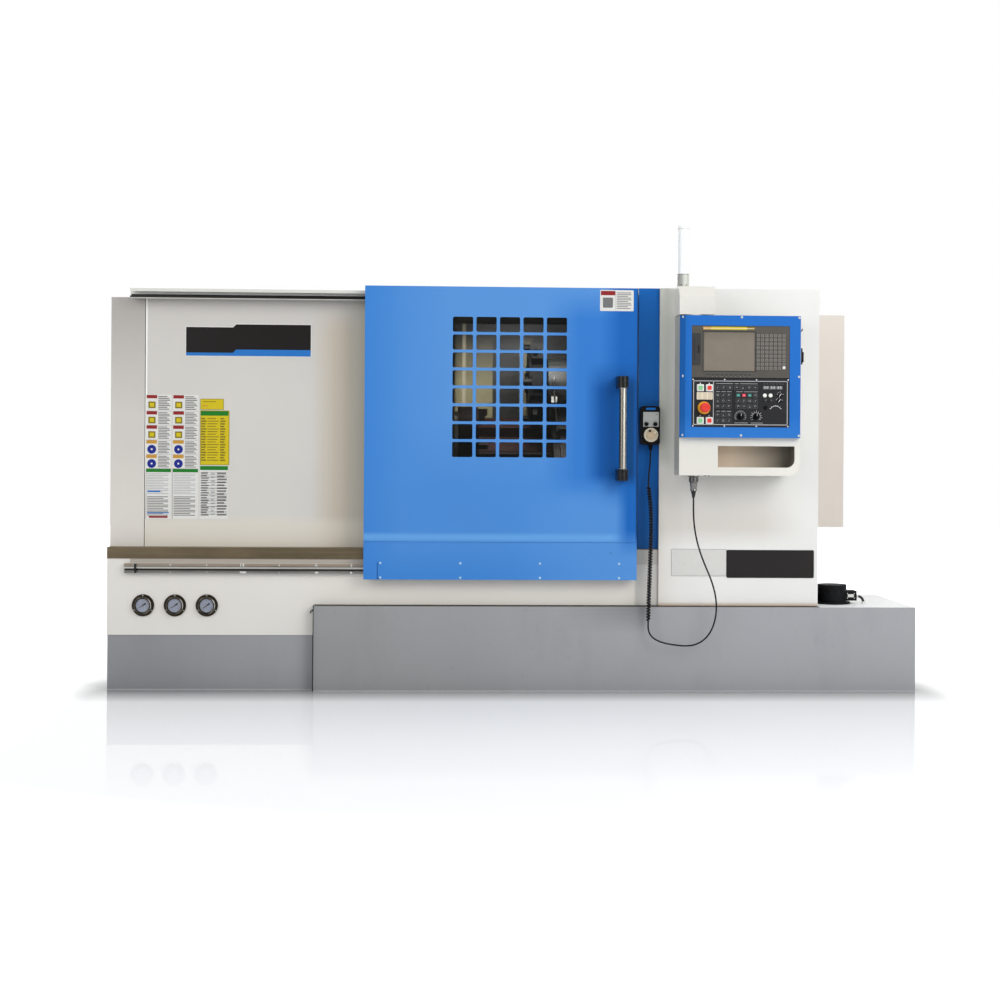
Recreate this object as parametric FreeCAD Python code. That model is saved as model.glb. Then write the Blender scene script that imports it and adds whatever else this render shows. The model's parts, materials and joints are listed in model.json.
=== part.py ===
import FreeCAD, Part
import math
import os

# CNC turning lathe with a slanted bed, a sliding door and a hanging operator pendant.
# Millimetres, +Z up, +X to the operator's right, -Y towards the operator.
# The origin is the centre of the footprint, on the floor.

Vec = FreeCAD.Vector

# ---- driving sizes: body and covers
body_length = 2983.0         # left end cover to the right end cover
body_depth = 1280.0          # lower front cover to the rear cover
roof_height = 1640.0
sheet = 3.0                  # folded sheet steel of the covers
fold_depth = 40.0            # returns folded back at the edges of the covers
seat_gap = 0.3               # gap left between pieces that only just clear each other
run_gap = 0.05               # radial clearance of shafts in their bores
past = 1.0                   # how far a cut reaches past what it cuts, and joined shapes into each other
panel_setback = 60.0         # upper left panel behind the lower front cover
panel_joint = 3.0            # open joint between two panels
left_column_width = 141.0
roof_setback = 30.0          # front edge of the roof in front of the upper left panel
roof_start = 85.0            # the left end cover closes its own top up to here, from the left end
roof_lap = 15.0              # top of the left end cover under the roof
sill_top = 594.0
sill_height = 47.0
louvre_count = 6
louvre_height = 12.0
louvre_pitch = 34.0
louvre_length = 360.0
louvre_inset = 80.0          # ends of the louvres from the spindle's plane
drive_louvre_low = 560.0
warm_air_louvre_low = 1220.0
rear_louvre_count = 8
rear_louvre_low = 620.0
rear_louvre_start = 197.0    # from the left end
rear_louvre_length = 450.0
rear_cover_drop = 60.0       # lower edge of the rear cover under the top of the base

# ---- driving sizes: base and tank
plinth_height = 229.0        # the grey left end of the base
plinth_gap = 4.0             # open joint between the plinth and the tank
base_height = 430.0          # top of the base behind the tank
base_depth = 660.0
base_wall = 40.0
base_rib = 26.0
base_pockets_long = 9
base_pockets_deep = 2
overhang_depth = 100.0       # the ledge of the base above the tank
overhang_height = 65.0
tank_start = 857.0           # from the left end
tank_past_body = 411.0       # right end of the tank past the right end cover
tank_height = 355.0
tank_proud = 40.0
tank_gap = 20.0              # between the tank's back and the base
tank_wall = 4.0
tank_deck_inset = 46.0       # the tank is closed to the right of this line, from the right end cover
tank_lip = 24.0

# ---- driving sizes: bed, measured up the slope (t) and square to it (n) from the spindle axis
bed_slope = 45.0             # degrees
bed_drop = 300.0             # spindle axis to the slanted face of the bed
bed_front_edge = 380.0       # lower edge of the slanted face, down the slope
bed_back_edge = 420.0        # upper edge, up the slope
bed_end_inset = 106.0        # right end of the bed inside the right end cover
bed_wall = 45.0
bed_rib_count = 4
way_height = 60.0
low_way_t = -340.0           # the tailstock's ways
low_way_pitch = 140.0
low_way_width = 40.0
high_way_t = -60.0           # the saddle's ways
high_way_pitch = 350.0
high_way_width = 50.0
way_inset = 14.0             # left end of the ways from the headstock guard's wall
screw_block_length = 40.0
screw_block_half = 40.0
screw_r = 16.0
screw_t = 140.0
screw_drop = 270.0           # spindle axis to the screw's axis, square to the slope
screw_journal_r = 12.0
screw_end_gap = 2.0

# ---- driving sizes: spindle drive
spindle_setback = 560.0      # behind the lower front cover
spindle_z = 1080.0
guard_start = 1443.0         # right face of the headstock guard's wall, from the left end
spindle_r = 80.0
spindle_tail_r = 45.0
spindle_tail_length = 410.0
cylinder_r = 88.0            # hydraulic cylinder that works the chuck
cylinder_length = 170.0
nose_flange_r = 105.0
nose_flange_thickness = 18.0
nose_gap = 4.0               # from the guard's wall to the nose flange
nose_clearance = 8.0         # hole in the guard's wall round the flange
head_length = 643.0
head_gap = 3.0               # right end of the headstock inside the guard's wall face
head_half_width = 215.0
head_foot_top = 90.0         # below the spindle axis
head_neck_reach = 30.0
head_neck_top = 60.0
barrel_wall = 72.0
rib_wall = 92.0
rib_width = 18.0
rib_pitch = 80.0
rib_start = 60.0
head_rib_count = 4
chuck_r = 125.0
chuck_length = 92.0
chuck_bore_r = 36.0
chuck_chamfer = 6.0
jaw_count = 3
jaw_width = 24.0
jaw_height = 42.0
jaw_key_depth = 20.0
jaw_inner_r = 44.0
jaw_step_r = 62.0
jaw_tip_r = 84.0
jaw_outer_r = 116.0
jaw_key_outer_r = 112.0
pulley_gap = 30.0            # pulleys from the headstock's left end
pulley_length = 80.0
pulley_shoulder = 20.0
spindle_pulley_r = 130.0
motor_pulley_r = 80.0
belt_thickness = 8.0
belt_width = 60.0
motor_setback = 320.0        # behind the spindle axis
motor_rise = 155.0           # shaft above the base
motor_r = 125.0
motor_length = 430.0
motor_gap = 30.0             # from the pulley to the motor
motor_shaft_r = 28.0
fan_cover_length = 60.0
fan_cover_step = 14.0
motor_foot_inset = 60.0
motor_foot_half = 110.0
terminal_length = 140.0
terminal_half = 60.0
terminal_height = 60.0

# ---- driving sizes: saddle, turret and tailstock
saddle_start = 474.0         # from the guard's wall
saddle_length = 300.0
saddle_low_t = -90.0
saddle_high_t = 372.0
saddle_thickness = 65.0
skirt_gap = 6.0              # skirts of the saddle and the tailstock above the slanted face
nut_length = 120.0
nut_half = 32.0
nut_height = 26.0
cross_rail_inset = 30.0
cross_rail_width = 40.0
cross_rail_height = 25.0
cross_rail_low_t = -60.0
cross_rail_high_t = 365.0
cross_slide_t = 150.0
cross_slide_length = 330.0
cross_slide_height = 40.0
cross_slide_inset = 15.0
pedestal_foot = 120.0
pedestal_head = 80.0
turret_t = 345.0
turret_r = 160.0
turret_lead = 120.0          # turret's face in front of the saddle's left end
turret_thickness = 78.0
turret_hub_r = 70.0
turret_hub_length = 12.0
turret_cap_r = 48.0
turret_cap_proud = 14.0
turret_housing_r = 115.0
turret_motor_r = 52.0
turret_motor_length = 130.0
tool_reach = 222.0
tool_stations = 8
tool_block_half = 30.0
tool_block_height = 38.0
tool_block_inset = 8.0
bar_tool_r = 15.0
bar_tool_proud = 30.0
turning_tool_width = 20.0
tail_start = 814.0           # from the guard's wall
tail_length = 300.0
tail_foot_overlap = 22.0     # foot past its ways, down the slope
tail_foot_thickness = 40.0
tail_barrel_r = 80.0
tail_column_inset = 25.0
quill_r = 45.0
quill_proud = 80.0
quill_bore_wall = 30.0
quill_length = 240.0
centre_collar_r = 30.0
centre_collar_length = 26.0
centre_length = 52.0
centre_base_r = 19.0
centre_tip_r = 2.0

# ---- driving sizes: chip pan
pan_flange_height = 40.0
pan_flange_drop = 10.0
pan_slope_run = 90.0
pan_back_rise = 40.0         # above the top of the base
pan_front_rise = 20.0
pan_front_gap = 8.0
pan_start = 6.0              # from the guard's wall
drain_count = 2
drain_length = 300.0
drain_width = 80.0
drain_start = 254.0
drain_pitch = 560.0
drain_setback = 140.0

# ---- driving sizes: sliding door and the fixed post
door_start = 1066.0          # from the left end
door_width = 1140.0
door_proud = 60.0
door_depth = 34.0
door_over_roof = 48.0
door_seam_rise = 31.0        # joint between the door and its skirt, above the sill
door_skirt_drop = 127.0      # lower edge of the skirt, below the sill
skirt_lap = 40.0             # skirt tucked up behind the door
skirt_joint = 2.0
skirt_side_depth = 25.0
opening_overlap = 31.0       # upper left panel behind the door's left edge
grille_columns = 5
grille_rows = 8
grille_start = 365.0         # from the door's left edge
grille_drop = 102.0          # lowest holes below the spindle axis
grille_pitch_x = 98.0
grille_pitch_z = 74.5
grille_hole_w = 84.5
grille_hole_h = 63.0
grille_corner_r = 7.0
window_thickness = 6.0
window_margin = 25.0
handle_inset = 69.0          # from the door's right edge
handle_r = 15.5
handle_drop = 196.0          # lower end below the spindle axis
handle_length = 433.0
handle_standoff = 58.0
handle_bracket_h = 48.0
handle_bracket_w = 46.0
handle_plug = 16.0           # tube let into each bracket
post_gap = 12.0
post_width = 87.0
post_over_roof = 56.0
post_inset = 10.0

# ---- driving sizes: door rails and rollers
rail_height = 40.0
rail_depth = 25.0
rail_rise = 20.0             # above the lower edge of the skirt
rail_start = 74.0            # from the left end
rail_end_inset = 4.0         # right ends of both rails inside the door's right edge
rail_rib = 6.0
rail_rib_high = 8.0
rail_rib_low = 3.0
rail_groove_depth = 14.0
rail_groove_low = 12.0
top_rail_start = 89.0        # from the left end
top_rail_drop = 8.0          # below the roof
top_rail_height = 40.0
top_rail_depth = 38.0
top_rail_wall = 4.0
rail_slot_height = 18.0
roller_r = 14.0
roller_width = 14.0
roller_stud_r = 5.0
roller_inset = 150.0
hanger_half = 30.0
hanger_depth = 21.0
hanger_drop = 22.0
shoe_half = 35.0

# ---- driving sizes: right front cabinet, rear cabinet, services
cabinet_proud = 10.0
cabinet_gap = 2.0            # above the tank
cabinet_over_roof = 55.0
rear_cab_start = 726.0       # inside the right end cover
rear_cab_height = 1062.0
rear_cab_over_roof = 60.0
rear_cab_depth = 260.0
side_duct_gap = 30.0         # cable duct of the rear cabinet, from the right end cover
side_duct_forward = 125.0    # in front of the cabinet's front wall
side_duct_inset = 10.0       # below the cabinet's top
rear_door_depth = 24.0
plate_inset = 60.0
plate_depth = 17.0
drive_count = 4
drive_width = 100.0
drive_pitch = 130.0
drive_depth = 130.0
drive_height = 320.0
drive_drop = 140.0           # top of the drive units below the cabinet's top
duct_depth = 70.0
duct_height = 90.0
duct_drop = 570.0
transformer_width = 260.0
transformer_depth = 110.0
transformer_height = 200.0
transformer_drop = 740.0
switch_inset = 130.0
switch_drop = 220.0
switch_boss_r = 38.0
switch_boss_depth = 9.0
switch_grip = 18.0
switch_length = 68.0
switch_proud = 30.7          # isolator switch behind the rear door
latch_inset = 60.0
latch_width = 24.0
latch_length = 150.0
latch_drop = 620.0
latch_proud = 16.0
gauge_r = 46.0
gauge_count = 3
gauge_rise = 123.0           # above the plinth
gauge_start = 150.0          # from the left end
gauge_pitch = 132.0
gauge_flange_depth = 6.0
gauge_ring_step = 10.0
gauge_ring_depth = 12.0
gauge_rim = 5.0
gauge_dial_depth = 6.0
needle_width = 3.0
needle_depth = 3.0
needle_tail = 6.0
needle_gap = 5.0
lamp_inset = 27.0            # from the pendant's left side
lamp_setback = 65.0          # from the front of the arm
lamp_r = 25.0
lamp_base_height = 53.0
lamp_tube_height = 200.0
lamp_tube_step = 1.5
pump_start = 99.0            # past the right end cover
pump_setback = 180.0         # from the front of the tank
pump_flange_r = 78.0
pump_flange_depth = 8.0
pump_motor_r = 58.0
pump_motor_height = 60.0
pump_cover_r = 62.0
pump_cover_height = 22.0
pump_terminal_depth = 42.0
pump_terminal_half = 34.0
pump_terminal_height = 42.0
pump_outlet_r = 16.0
pump_outlet_x = 66.0
pump_outlet_y = 30.0

# ---- driving sizes: operator pendant
pendant_start = 58.0         # from the cabinet's left edge
pendant_width = 504.0
pendant_drop = 128.0         # under the cabinet's top
pendant_height = 658.0
pendant_gap = 40.0           # behind it, to the cabinet
pendant_depth = 125.0
pendant_corner_r = 48.0
bezel_depth = 25.0
bezel_rise = 156.0           # above the pendant's lower edge
bezel_inset = 7.0
bezel_bevel = 20.0
pivot_inset = 71.0
pivot_setback = 65.0
pivot_boss_r = 34.0
arm_inset = 3.0
arm_width = 150.0
arm_proud = 140.0
arm_rise = 8.0
arm_bevel_height = 42.0
arm_bevel_depth = 30.0
arm_under_top = 2.0
slot_start = 161.0           # hand slot, from the pendant's left side
slot_width = 319.0
slot_rise = 34.0
slot_height = 88.0
slot_corner_r = 33.0
slot_depth = 85.0
unit_start = 46.0            # both control units, from the pendant's left side
unit_width = 406.0
unit_clearance = 6.0
unit_sunk = 2.0              # faces of the units behind the bezel's face
unit_pocket_depth = 90.0
display_drop = 42.0
display_height = 214.0
display_depth = 93.0
screen_start = 50.0
screen_width = 212.0
screen_rise = 28.0
screen_height = 160.0
screen_depth = 4.0
key_columns = 7
key_rows = 9
key_gap = 6.0
key_pitch_x = 17.8
key_pitch_z = 16.7
key_width = 13.5
key_height = 12.5
key_rise = 34.0
key_proud = 2.0
soft_key_count = 10
soft_key_pitch = 19.3
soft_key_width = 13.0
soft_key_height = 8.0
soft_key_rise = 8.5
soft_key_inset = 10.5
panel_gap = 2.0
panel_height = 201.0
panel_depth = 72.0
flat_key_proud = 1.5
flat_key_gap_x = 3.0
flat_key_gap_z = 4.0
digit_start = 294.7
digit_width = 87.0
digit_rise = 155.5
digit_height = 16.5
digit_depth = 2.0
seat_depth = 9.0
stem_seat_depth = 12.0
button_size = 26.0
button_proud = 6.0
button_chamfer = 2.0
button_inset = 37.0          # first column of buttons, from the panel's left side
button_pitch = 37.0
button_low_rise = 26.5
button_high_rise = 161.0
stop_inset = 52.6
stop_rise = 79.0
stop_r = 20.0
stop_stem_r = 14.0
stop_proud = 35.0            # in front of the bezel
stop_head_depth = 23.0
stop_chamfer = 6.0
knob_r = 13.0
knob_rise = 44.0
knob_start = 203.0
knob_pitch = 66.0
knob_flutes = 12
knob_skirt_depth = 6.0
knob_grip_depth = 18.0
knob_grip_half = 3.5
knob_stem_r = 4.0
knob_stem_depth = 8.0
plug_ring_r = 20.0
plug_ring_length = 34.0
plug_barrel_step = 4.0
plug_barrel_length = 26.0
plug_boot_length = 34.0
plug_boot_r = 12.0
plug_sides = 12

# ---- driving sizes: hand unit and its cord
hand_start = 46.0            # centre of the hand unit, from the post's left edge
hand_width = 78.0
hand_drop = 46.0             # lower end below the spindle axis
hand_height = 163.0
hand_depth = 50.0
hand_corner_r = 12.0
hook_half = 20.0
hook_low = 18.0
hook_high = 6.0
hook_depth = 14.0
hand_wheel_r = 30.0
hand_wheel_rise = 41.5
hand_wheel_depth = 14.0
hand_wheel_rim = 6.0
hand_wheel_dish = 5.0
hand_wheel_flutes = 24
hand_hub_r = 9.0
hand_stem_r = 8.0
finger_r = 4.5
finger_reach = 26.0
finger_x = 14.0
finger_z = 10.0
hand_knob_r = 9.0
hand_knob_rise = 87.5
hand_knob_spread = 18.5
hand_knob_depth = 8.0
hand_knob_grip = 14.0
hand_knob_grip_half = 2.0
hand_knob_stem_r = 3.0
hand_boot_length = 22.0
hand_boot_r = 9.0
boot_wall = 2.5              # rubber round the cord at the end of a boot
cord_r = 3.5
cord_sides = 8
curl_mean_r = 6.8
curl_turns = 48
curl_sides = 4

# ---- sizes worked out from the driving ones
controls_proud = cabinet_proud + pendant_gap + pendant_depth + bezel_depth + stop_proud
overall_length = body_length + tank_past_body
overall_depth = controls_proud + body_depth + rear_cab_depth + seat_gap + rear_door_depth + switch_proud
x_left = -overall_length / 2
x_right = x_left + body_length
front_y = -overall_depth / 2 + controls_proud
rear_y = front_y + body_depth
panel_y = front_y + panel_setback
roof_edge_y = panel_y - roof_setback

base_rear_y = rear_y - base_wall
base_front_y = base_rear_y - base_depth
ledge_y = base_front_y - overhang_depth
tank_left_x = x_left + tank_start
tank_right_x = x_right + tank_past_body
tank_deck_x = x_right - tank_deck_inset
tank_y = front_y - tank_proud
tank_rear_y = base_front_y - tank_gap

spindle_y = front_y + spindle_setback
guard_wall_x = x_left + guard_start
flange_back_x = guard_wall_x + nose_gap
chuck_back_x = flange_back_x + nose_flange_thickness
chuck_face_x = chuck_back_x + chuck_length
head_right_x = guard_wall_x - head_gap
head_left_x = head_right_x - head_length
pulley_right_x = head_left_x - pulley_gap
pulley_x = pulley_right_x - pulley_length
spindle_tail_x = pulley_x - pulley_shoulder - spindle_tail_length
motor_y = spindle_y + motor_setback
motor_z = base_height + motor_rise
motor_right_x = pulley_x - motor_gap
motor_left_x = motor_right_x - motor_length

slope_cos = math.cos(math.radians(bed_slope))
slope_sin = math.sin(math.radians(bed_slope))
bed_left_x = head_left_x
bed_right_x = x_right - bed_end_inset
way_left_x = guard_wall_x + way_inset
way_top_n = way_height - bed_drop
screw_n = -screw_drop
saddle_x = guard_wall_x + saddle_start
saddle_right_x = saddle_x + saddle_length
saddle_under_n = way_top_n + seat_gap
saddle_top_n = way_top_n + saddle_thickness
cross_under_n = saddle_top_n + cross_rail_height + seat_gap
turret_x = saddle_x - turret_lead
turret_face_x = turret_x + turret_thickness
tail_x = guard_wall_x + tail_start
tail_right_x = tail_x + tail_length

sill_bottom = sill_top - sill_height
door_left_x = x_left + door_start
door_right_x = door_left_x + door_width
door_y = front_y - door_proud
door_seam = sill_top + door_seam_rise
door_bottom = sill_top - door_skirt_drop
door_top = roof_height + door_over_roof
opening_left_x = door_left_x + opening_overlap
grille_left_x = door_left_x + grille_start
grille_bottom = spindle_z - grille_drop
grille_width = (grille_columns - 1) * grille_pitch_x + grille_hole_w
grille_height = (grille_rows - 1) * grille_pitch_z + grille_hole_h
handle_x = door_right_x - handle_inset
handle_y = door_y - handle_standoff
handle_bottom = spindle_z - handle_drop
handle_top = handle_bottom + handle_length
post_x = door_right_x + post_gap
post_right_x = post_x + post_width - seat_gap
post_y = front_y + post_inset
post_top = roof_height + post_over_roof
rail_bottom = door_bottom + rail_rise
rail_middle = rail_bottom + rail_height / 2
rail_face_y = front_y - rail_depth
top_rail_bottom = roof_height - top_rail_drop
top_rail_top = top_rail_bottom + top_rail_height
top_rail_face_y = roof_edge_y - top_rail_depth
roller_z = top_rail_bottom + top_rail_wall + seat_gap + roller_r
roller_y = roof_edge_y - (top_rail_depth + roller_width) / 2
roller_places = (door_left_x + roller_inset, door_right_x - roller_inset)

cabinet_x = post_x + post_width
cabinet_y = front_y - cabinet_proud
cabinet_bottom = tank_height + cabinet_gap
cabinet_top = roof_height + cabinet_over_roof
rear_cab_left_x = x_right - rear_cab_start
rear_cab_right_x = tank_right_x
rear_cab_y = rear_y + rear_cab_depth
rear_cab_top = roof_height + rear_cab_over_roof
rear_cab_bottom = rear_cab_top - rear_cab_height
gauge_z = plinth_height + gauge_rise

pendant_left_x = cabinet_x + pendant_start
pendant_right_x = pendant_left_x + pendant_width
pendant_top = cabinet_top - pendant_drop
pendant_bottom = pendant_top - pendant_height
pendant_rear_y = cabinet_y - pendant_gap
pendant_front_y = pendant_rear_y - pendant_depth
bezel_y = pendant_front_y - bezel_depth
unit_face_y = bezel_y + unit_sunk
pivot_x = pendant_left_x + pivot_inset
pivot_y = pendant_rear_y - pivot_setback
arm_front_y = cabinet_y - arm_proud
unit_left_x = pendant_left_x + unit_start
unit_right_x = unit_left_x + unit_width
display_top = pendant_top - display_drop
display_bottom = display_top - display_height
panel_top = display_bottom - panel_gap
panel_bottom = panel_top - panel_height
button_places = [(unit_left_x + button_inset + column * button_pitch, panel_bottom + rise)
                 for rise in (button_high_rise, button_low_rise) for column in range(2)]
stop_x = unit_left_x + stop_inset
stop_z = panel_bottom + stop_rise
knob_z = panel_bottom + knob_rise
knob_places = [unit_left_x + knob_start + index * knob_pitch for index in range(2)]
plug_barrel_z = pendant_bottom - plug_ring_length - plug_barrel_length
plug_bottom = plug_barrel_z - plug_boot_length

hand_x = post_x + hand_start
hand_bottom = spindle_z - hand_drop
hand_top = hand_bottom + hand_height
hand_rear_y = post_y
hand_y = hand_rear_y - hand_depth
hand_wheel_z = hand_bottom + hand_wheel_rise
hand_knob_z = hand_bottom + hand_knob_rise
hand_knob_places = (hand_x - hand_knob_spread, hand_x + hand_knob_spread)


def box(x0, x1, y0, y1, z0, z1):
    """A box between two corners."""
    return Part.makeBox(x1 - x0, y1 - y0, z1 - z0, Vec(x0, y0, z0))


def cylinder_x(radius, x0, x1, y, z):
    return Part.makeCylinder(radius, x1 - x0, Vec(x0, y, z), Vec(1, 0, 0))


def cylinder_y(radius, y0, y1, x, z):
    return Part.makeCylinder(radius, y1 - y0, Vec(x, y0, z), Vec(0, 1, 0))


def cylinder_z(radius, z0, z1, x, y):
    return Part.makeCylinder(radius, z1 - z0, Vec(x, y, z0), Vec(0, 0, 1))


def prism_x(profile_yz, x0, x1):
    """A closed outline in the YZ plane, drawn along X."""
    corners = [Vec(x0, y, z) for y, z in profile_yz]
    face = Part.Face(Part.makePolygon(corners + corners[:1]))
    return face.extrude(Vec(x1 - x0, 0, 0))


def prism_y(profile_xz, y0, y1):
    """A closed outline in the XZ plane, drawn along Y."""
    corners = [Vec(x, y0, z) for x, z in profile_xz]
    face = Part.Face(Part.makePolygon(corners + corners[:1]))
    return face.extrude(Vec(0, y1 - y0, 0))


def ring_points(radius, sides, x, z, dent=0.0):
    """Corners of a regular outline in the XZ plane; with a dent, every second corner is drawn in by it."""
    points = []
    for index in range(sides):
        angle = 2 * math.pi * (index + 0.5) / sides
        reach = radius - dent * (index % 2)
        points.append((x + reach * math.cos(angle), z + reach * math.sin(angle)))
    return points


def fluted_y(radius, flutes, dent, y0, y1, x, z):
    """A round grip with flutes all round its rim."""
    return prism_y(ring_points(radius, 2 * flutes, x, z, dent), y0, y1)


def faceted_z(radius, sides, z0, z1, x, y):
    """An upright prism on a regular outline, such as a hexagon nut."""
    corners = [Vec(px, py, z0) for px, py in ring_points(radius, sides, x, y)]
    return Part.Face(Part.makePolygon(corners + corners[:1])).extrude(Vec(0, 0, z1 - z0))


def rounded_plate(x0, x1, z0, z1, radius, y0, y1):
    """A plate facing the operator with four rounded corners."""
    plate = box(x0, x1, y0, y1, z0, z1)
    upright = [edge for edge in plate.Edges if abs(edge.tangentAt(edge.FirstParameter).y) > 0.9]
    return plate.makeFillet(radius, upright)


def folded_sheet(line_yz, thickness, x0, x1):
    """A sheet folded along a line of YZ points, with its thickness on the line's left side."""
    count = len(line_yz)
    normals = []
    for (y0, z0), (y1, z1) in zip(line_yz, line_yz[1:]):
        length = math.hypot(y1 - y0, z1 - z0)
        normals.append((-(z1 - z0) / length, (y1 - y0) / length))
    offset = []
    for index in range(count):
        before = normals[max(index - 1, 0)]
        after = normals[min(index, count - 2)]
        scale = thickness / (1 + before[0] * after[0] + before[1] * after[1])
        y, z = line_yz[index]
        offset.append((y + (before[0] + after[0]) * scale, z + (before[1] + after[1]) * scale))
    return prism_x(list(line_yz) + offset[::-1], x0, x1)


def tray(x0, x1, z0, z1, y_front, depth, open_bottom=False):
    """A front panel with its edges folded back, open behind."""
    floor = z0 - past if open_bottom else z0 + sheet
    shell = box(x0, x1, y_front, y_front + depth, z0, z1)
    return shell.cut(box(x0 + sheet, x1 - sheet, y_front + sheet, y_front + depth + past, floor,
                         z1 - sheet))


def on_slope(shape):
    """Turn a piece drawn about the spindle axis (X, up the slope, square to it) into place."""
    placed = shape.copy()
    placed.rotate(Vec(0, 0, 0), Vec(1, 0, 0), bed_slope)
    placed.translate(Vec(0, spindle_y, spindle_z))
    return placed


def slope_point(t, n):
    """Y and Z of a point given up the slope and square to it."""
    return (spindle_y + t * slope_cos - n * slope_sin, spindle_z + t * slope_sin + n * slope_cos)


def joined(first, *others):
    """One solid from pieces that touch or overlap."""
    return first.fuse(list(others)).removeSplitter()


def front_rim(shape, y):
    """Edges of a shape that lie in the plane facing the operator at y."""
    return [edge for edge in shape.Edges
            if abs(edge.BoundBox.YMin - y) < 1e-3 and abs(edge.BoundBox.YMax - y) < 1e-3]


def save(name, *solids):
    shape = solids[0] if len(solids) == 1 else Part.makeCompound(list(solids))
    shape.exportStep(os.path.join("parts", name + ".step"))


# ---- castings

def base_casting():
    """Ribbed hollow base: a plinth on the left, a rear box behind the tank and a ledge above the tank."""
    plinth_right_x = tank_left_x - plinth_gap
    plinth = box(x_left + sheet, plinth_right_x, front_y + sheet, base_front_y, 0, plinth_height)
    profile = [(base_front_y, 0), (base_rear_y, 0), (base_rear_y, base_height), (ledge_y, base_height),
               (ledge_y, base_height - overhang_height), (base_front_y, base_height - overhang_height)]
    casting = joined(plinth, prism_x(profile, x_left + sheet, x_right - sheet - seat_gap))
    inner_left = x_left + sheet + base_wall
    inner_length = x_right - sheet - seat_gap - base_wall - inner_left
    inner_depth = base_depth - 2 * base_wall
    pitch_x = (inner_length + base_rib) / base_pockets_long
    pitch_y = (inner_depth + base_rib) / base_pockets_deep
    pockets = []
    for column in range(base_pockets_long):
        for row in range(base_pockets_deep):
            left = inner_left + column * pitch_x
            near = base_front_y + base_wall + row * pitch_y
            pockets.append(box(left, left + pitch_x - base_rib, near, near + pitch_y - base_rib,
                               -past, base_height - base_wall))
    plinth_length = plinth_right_x - base_wall - inner_left
    plinth_depth = base_front_y - front_y - sheet - base_wall
    plinth_pitch_x = (plinth_length + base_rib) / base_pockets_deep
    plinth_pitch_y = (plinth_depth + base_rib) / base_pockets_deep
    for column in range(base_pockets_deep):
        for row in range(base_pockets_deep):
            left = inner_left + column * plinth_pitch_x
            near = front_y + sheet + base_wall + row * plinth_pitch_y
            pockets.append(box(left, left + plinth_pitch_x - base_rib, near,
                               near + plinth_pitch_y - base_rib,
                               -past, plinth_height - base_wall))
    return casting.cut(Part.makeCompound(pockets))


def bed_outline(offset=0.0):
    """Section of the bed: flat foot on the base, slanted front face, flat top at the back."""
    low = slope_point(-bed_front_edge, offset - bed_drop)
    high = slope_point(bed_back_edge, offset - bed_drop)
    return [(low[0], base_height), low, high, (base_rear_y, high[1]), (base_rear_y, base_height)]


def bed_casting():
    """Slant bed with four box ways, cored pockets between its ribs and the screw's two bearing blocks."""
    bed = prism_x(bed_outline(), bed_left_x, bed_right_x)
    low_y, low_z = slope_point(-bed_front_edge, -bed_drop)
    high_y, high_z = slope_point(bed_back_edge, -bed_drop)
    roof_z = high_z - bed_wall * (2 + slope_cos)
    floor_z = base_height + bed_wall
    core = [(low_y + bed_wall * (2 + slope_cos), floor_z), (high_y + bed_wall, roof_z),
            (base_rear_y - bed_wall, roof_z), (base_rear_y - bed_wall, floor_z)]
    pitch = (bed_right_x - bed_left_x - bed_wall) / bed_rib_count
    for index in range(bed_rib_count):
        left = bed_left_x + bed_wall + index * pitch
        bed = bed.cut(prism_x(core, left, left + pitch - bed_wall))
    rails = []
    for first_t, pitch_t, width in [(low_way_t, low_way_pitch, low_way_width),
                                    (high_way_t, high_way_pitch, high_way_width)]:
        for low_t in (first_t, first_t + pitch_t):
            rails.append(box(way_left_x, bed_right_x, low_t, low_t + width, -bed_drop - past, way_top_n))
    for left in (way_left_x, bed_right_x - screw_block_length):
        block = box(left, left + screw_block_length, screw_t - screw_block_half, screw_t + screw_block_half,
                    -bed_drop - past, screw_n + 2 * screw_r)
        rails.append(block.cut(cylinder_x(screw_journal_r + run_gap, left - past,
                                          left + screw_block_length + past,
                                          screw_t, screw_n)))
    return joined(bed, *[on_slope(rail) for rail in rails])


def headstock_casting():
    """Barrel on a wide foot, bored for the spindle, with cooling ribs round its back."""
    foot = box(head_left_x, head_right_x, -head_half_width, head_half_width, -bed_drop, -head_foot_top)
    shoulder = spindle_r + head_neck_top
    neck = prism_x([(-head_half_width, -head_foot_top - past), (head_half_width, -head_foot_top - past),
                    (shoulder, head_neck_top), (-shoulder, head_neck_top)],
                   head_left_x + head_neck_reach, head_right_x)
    barrel = cylinder_x(spindle_r + barrel_wall, head_left_x, head_right_x, 0, 0)
    ribs = []
    for index in range(head_rib_count):
        left = head_left_x + rib_start + index * rib_pitch
        ribs.append(cylinder_x(spindle_r + rib_wall, left, left + rib_width, 0, 0))
    casting = on_slope(joined(foot, neck, barrel, *ribs))
    return casting.cut(cylinder_x(spindle_r + run_gap, head_left_x - past, head_right_x + past, spindle_y,
                                  spindle_z))


# ---- main drive

def spindle():
    """Spindle with its nose flange, its pulley, the draw tube and the chuck's hydraulic cylinder."""
    shaft_left_x = pulley_x - pulley_shoulder
    shaft = cylinder_x(spindle_r, shaft_left_x, flange_back_x, spindle_y, spindle_z)
    flange = cylinder_x(nose_flange_r, flange_back_x, chuck_back_x, spindle_y, spindle_z)
    tail = cylinder_x(spindle_tail_r, spindle_tail_x, shaft_left_x, spindle_y, spindle_z)
    pulley = cylinder_x(spindle_pulley_r, pulley_x, pulley_right_x, spindle_y, spindle_z)
    actuator = cylinder_x(cylinder_r, spindle_tail_x - cylinder_length, spindle_tail_x, spindle_y,
                          spindle_z)
    return joined(shaft, flange, tail, pulley, actuator)


def radial_box(x0, x1, r0, r1, width, angle):
    """A box standing out from the spindle axis at an angle round it, from straight up."""
    block = box(x0, x1, -width / 2, width / 2, r0, r1)
    block.rotate(Vec(0, 0, 0), Vec(1, 0, 0), angle)
    block.translate(Vec(0, spindle_y, spindle_z))
    return block


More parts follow.
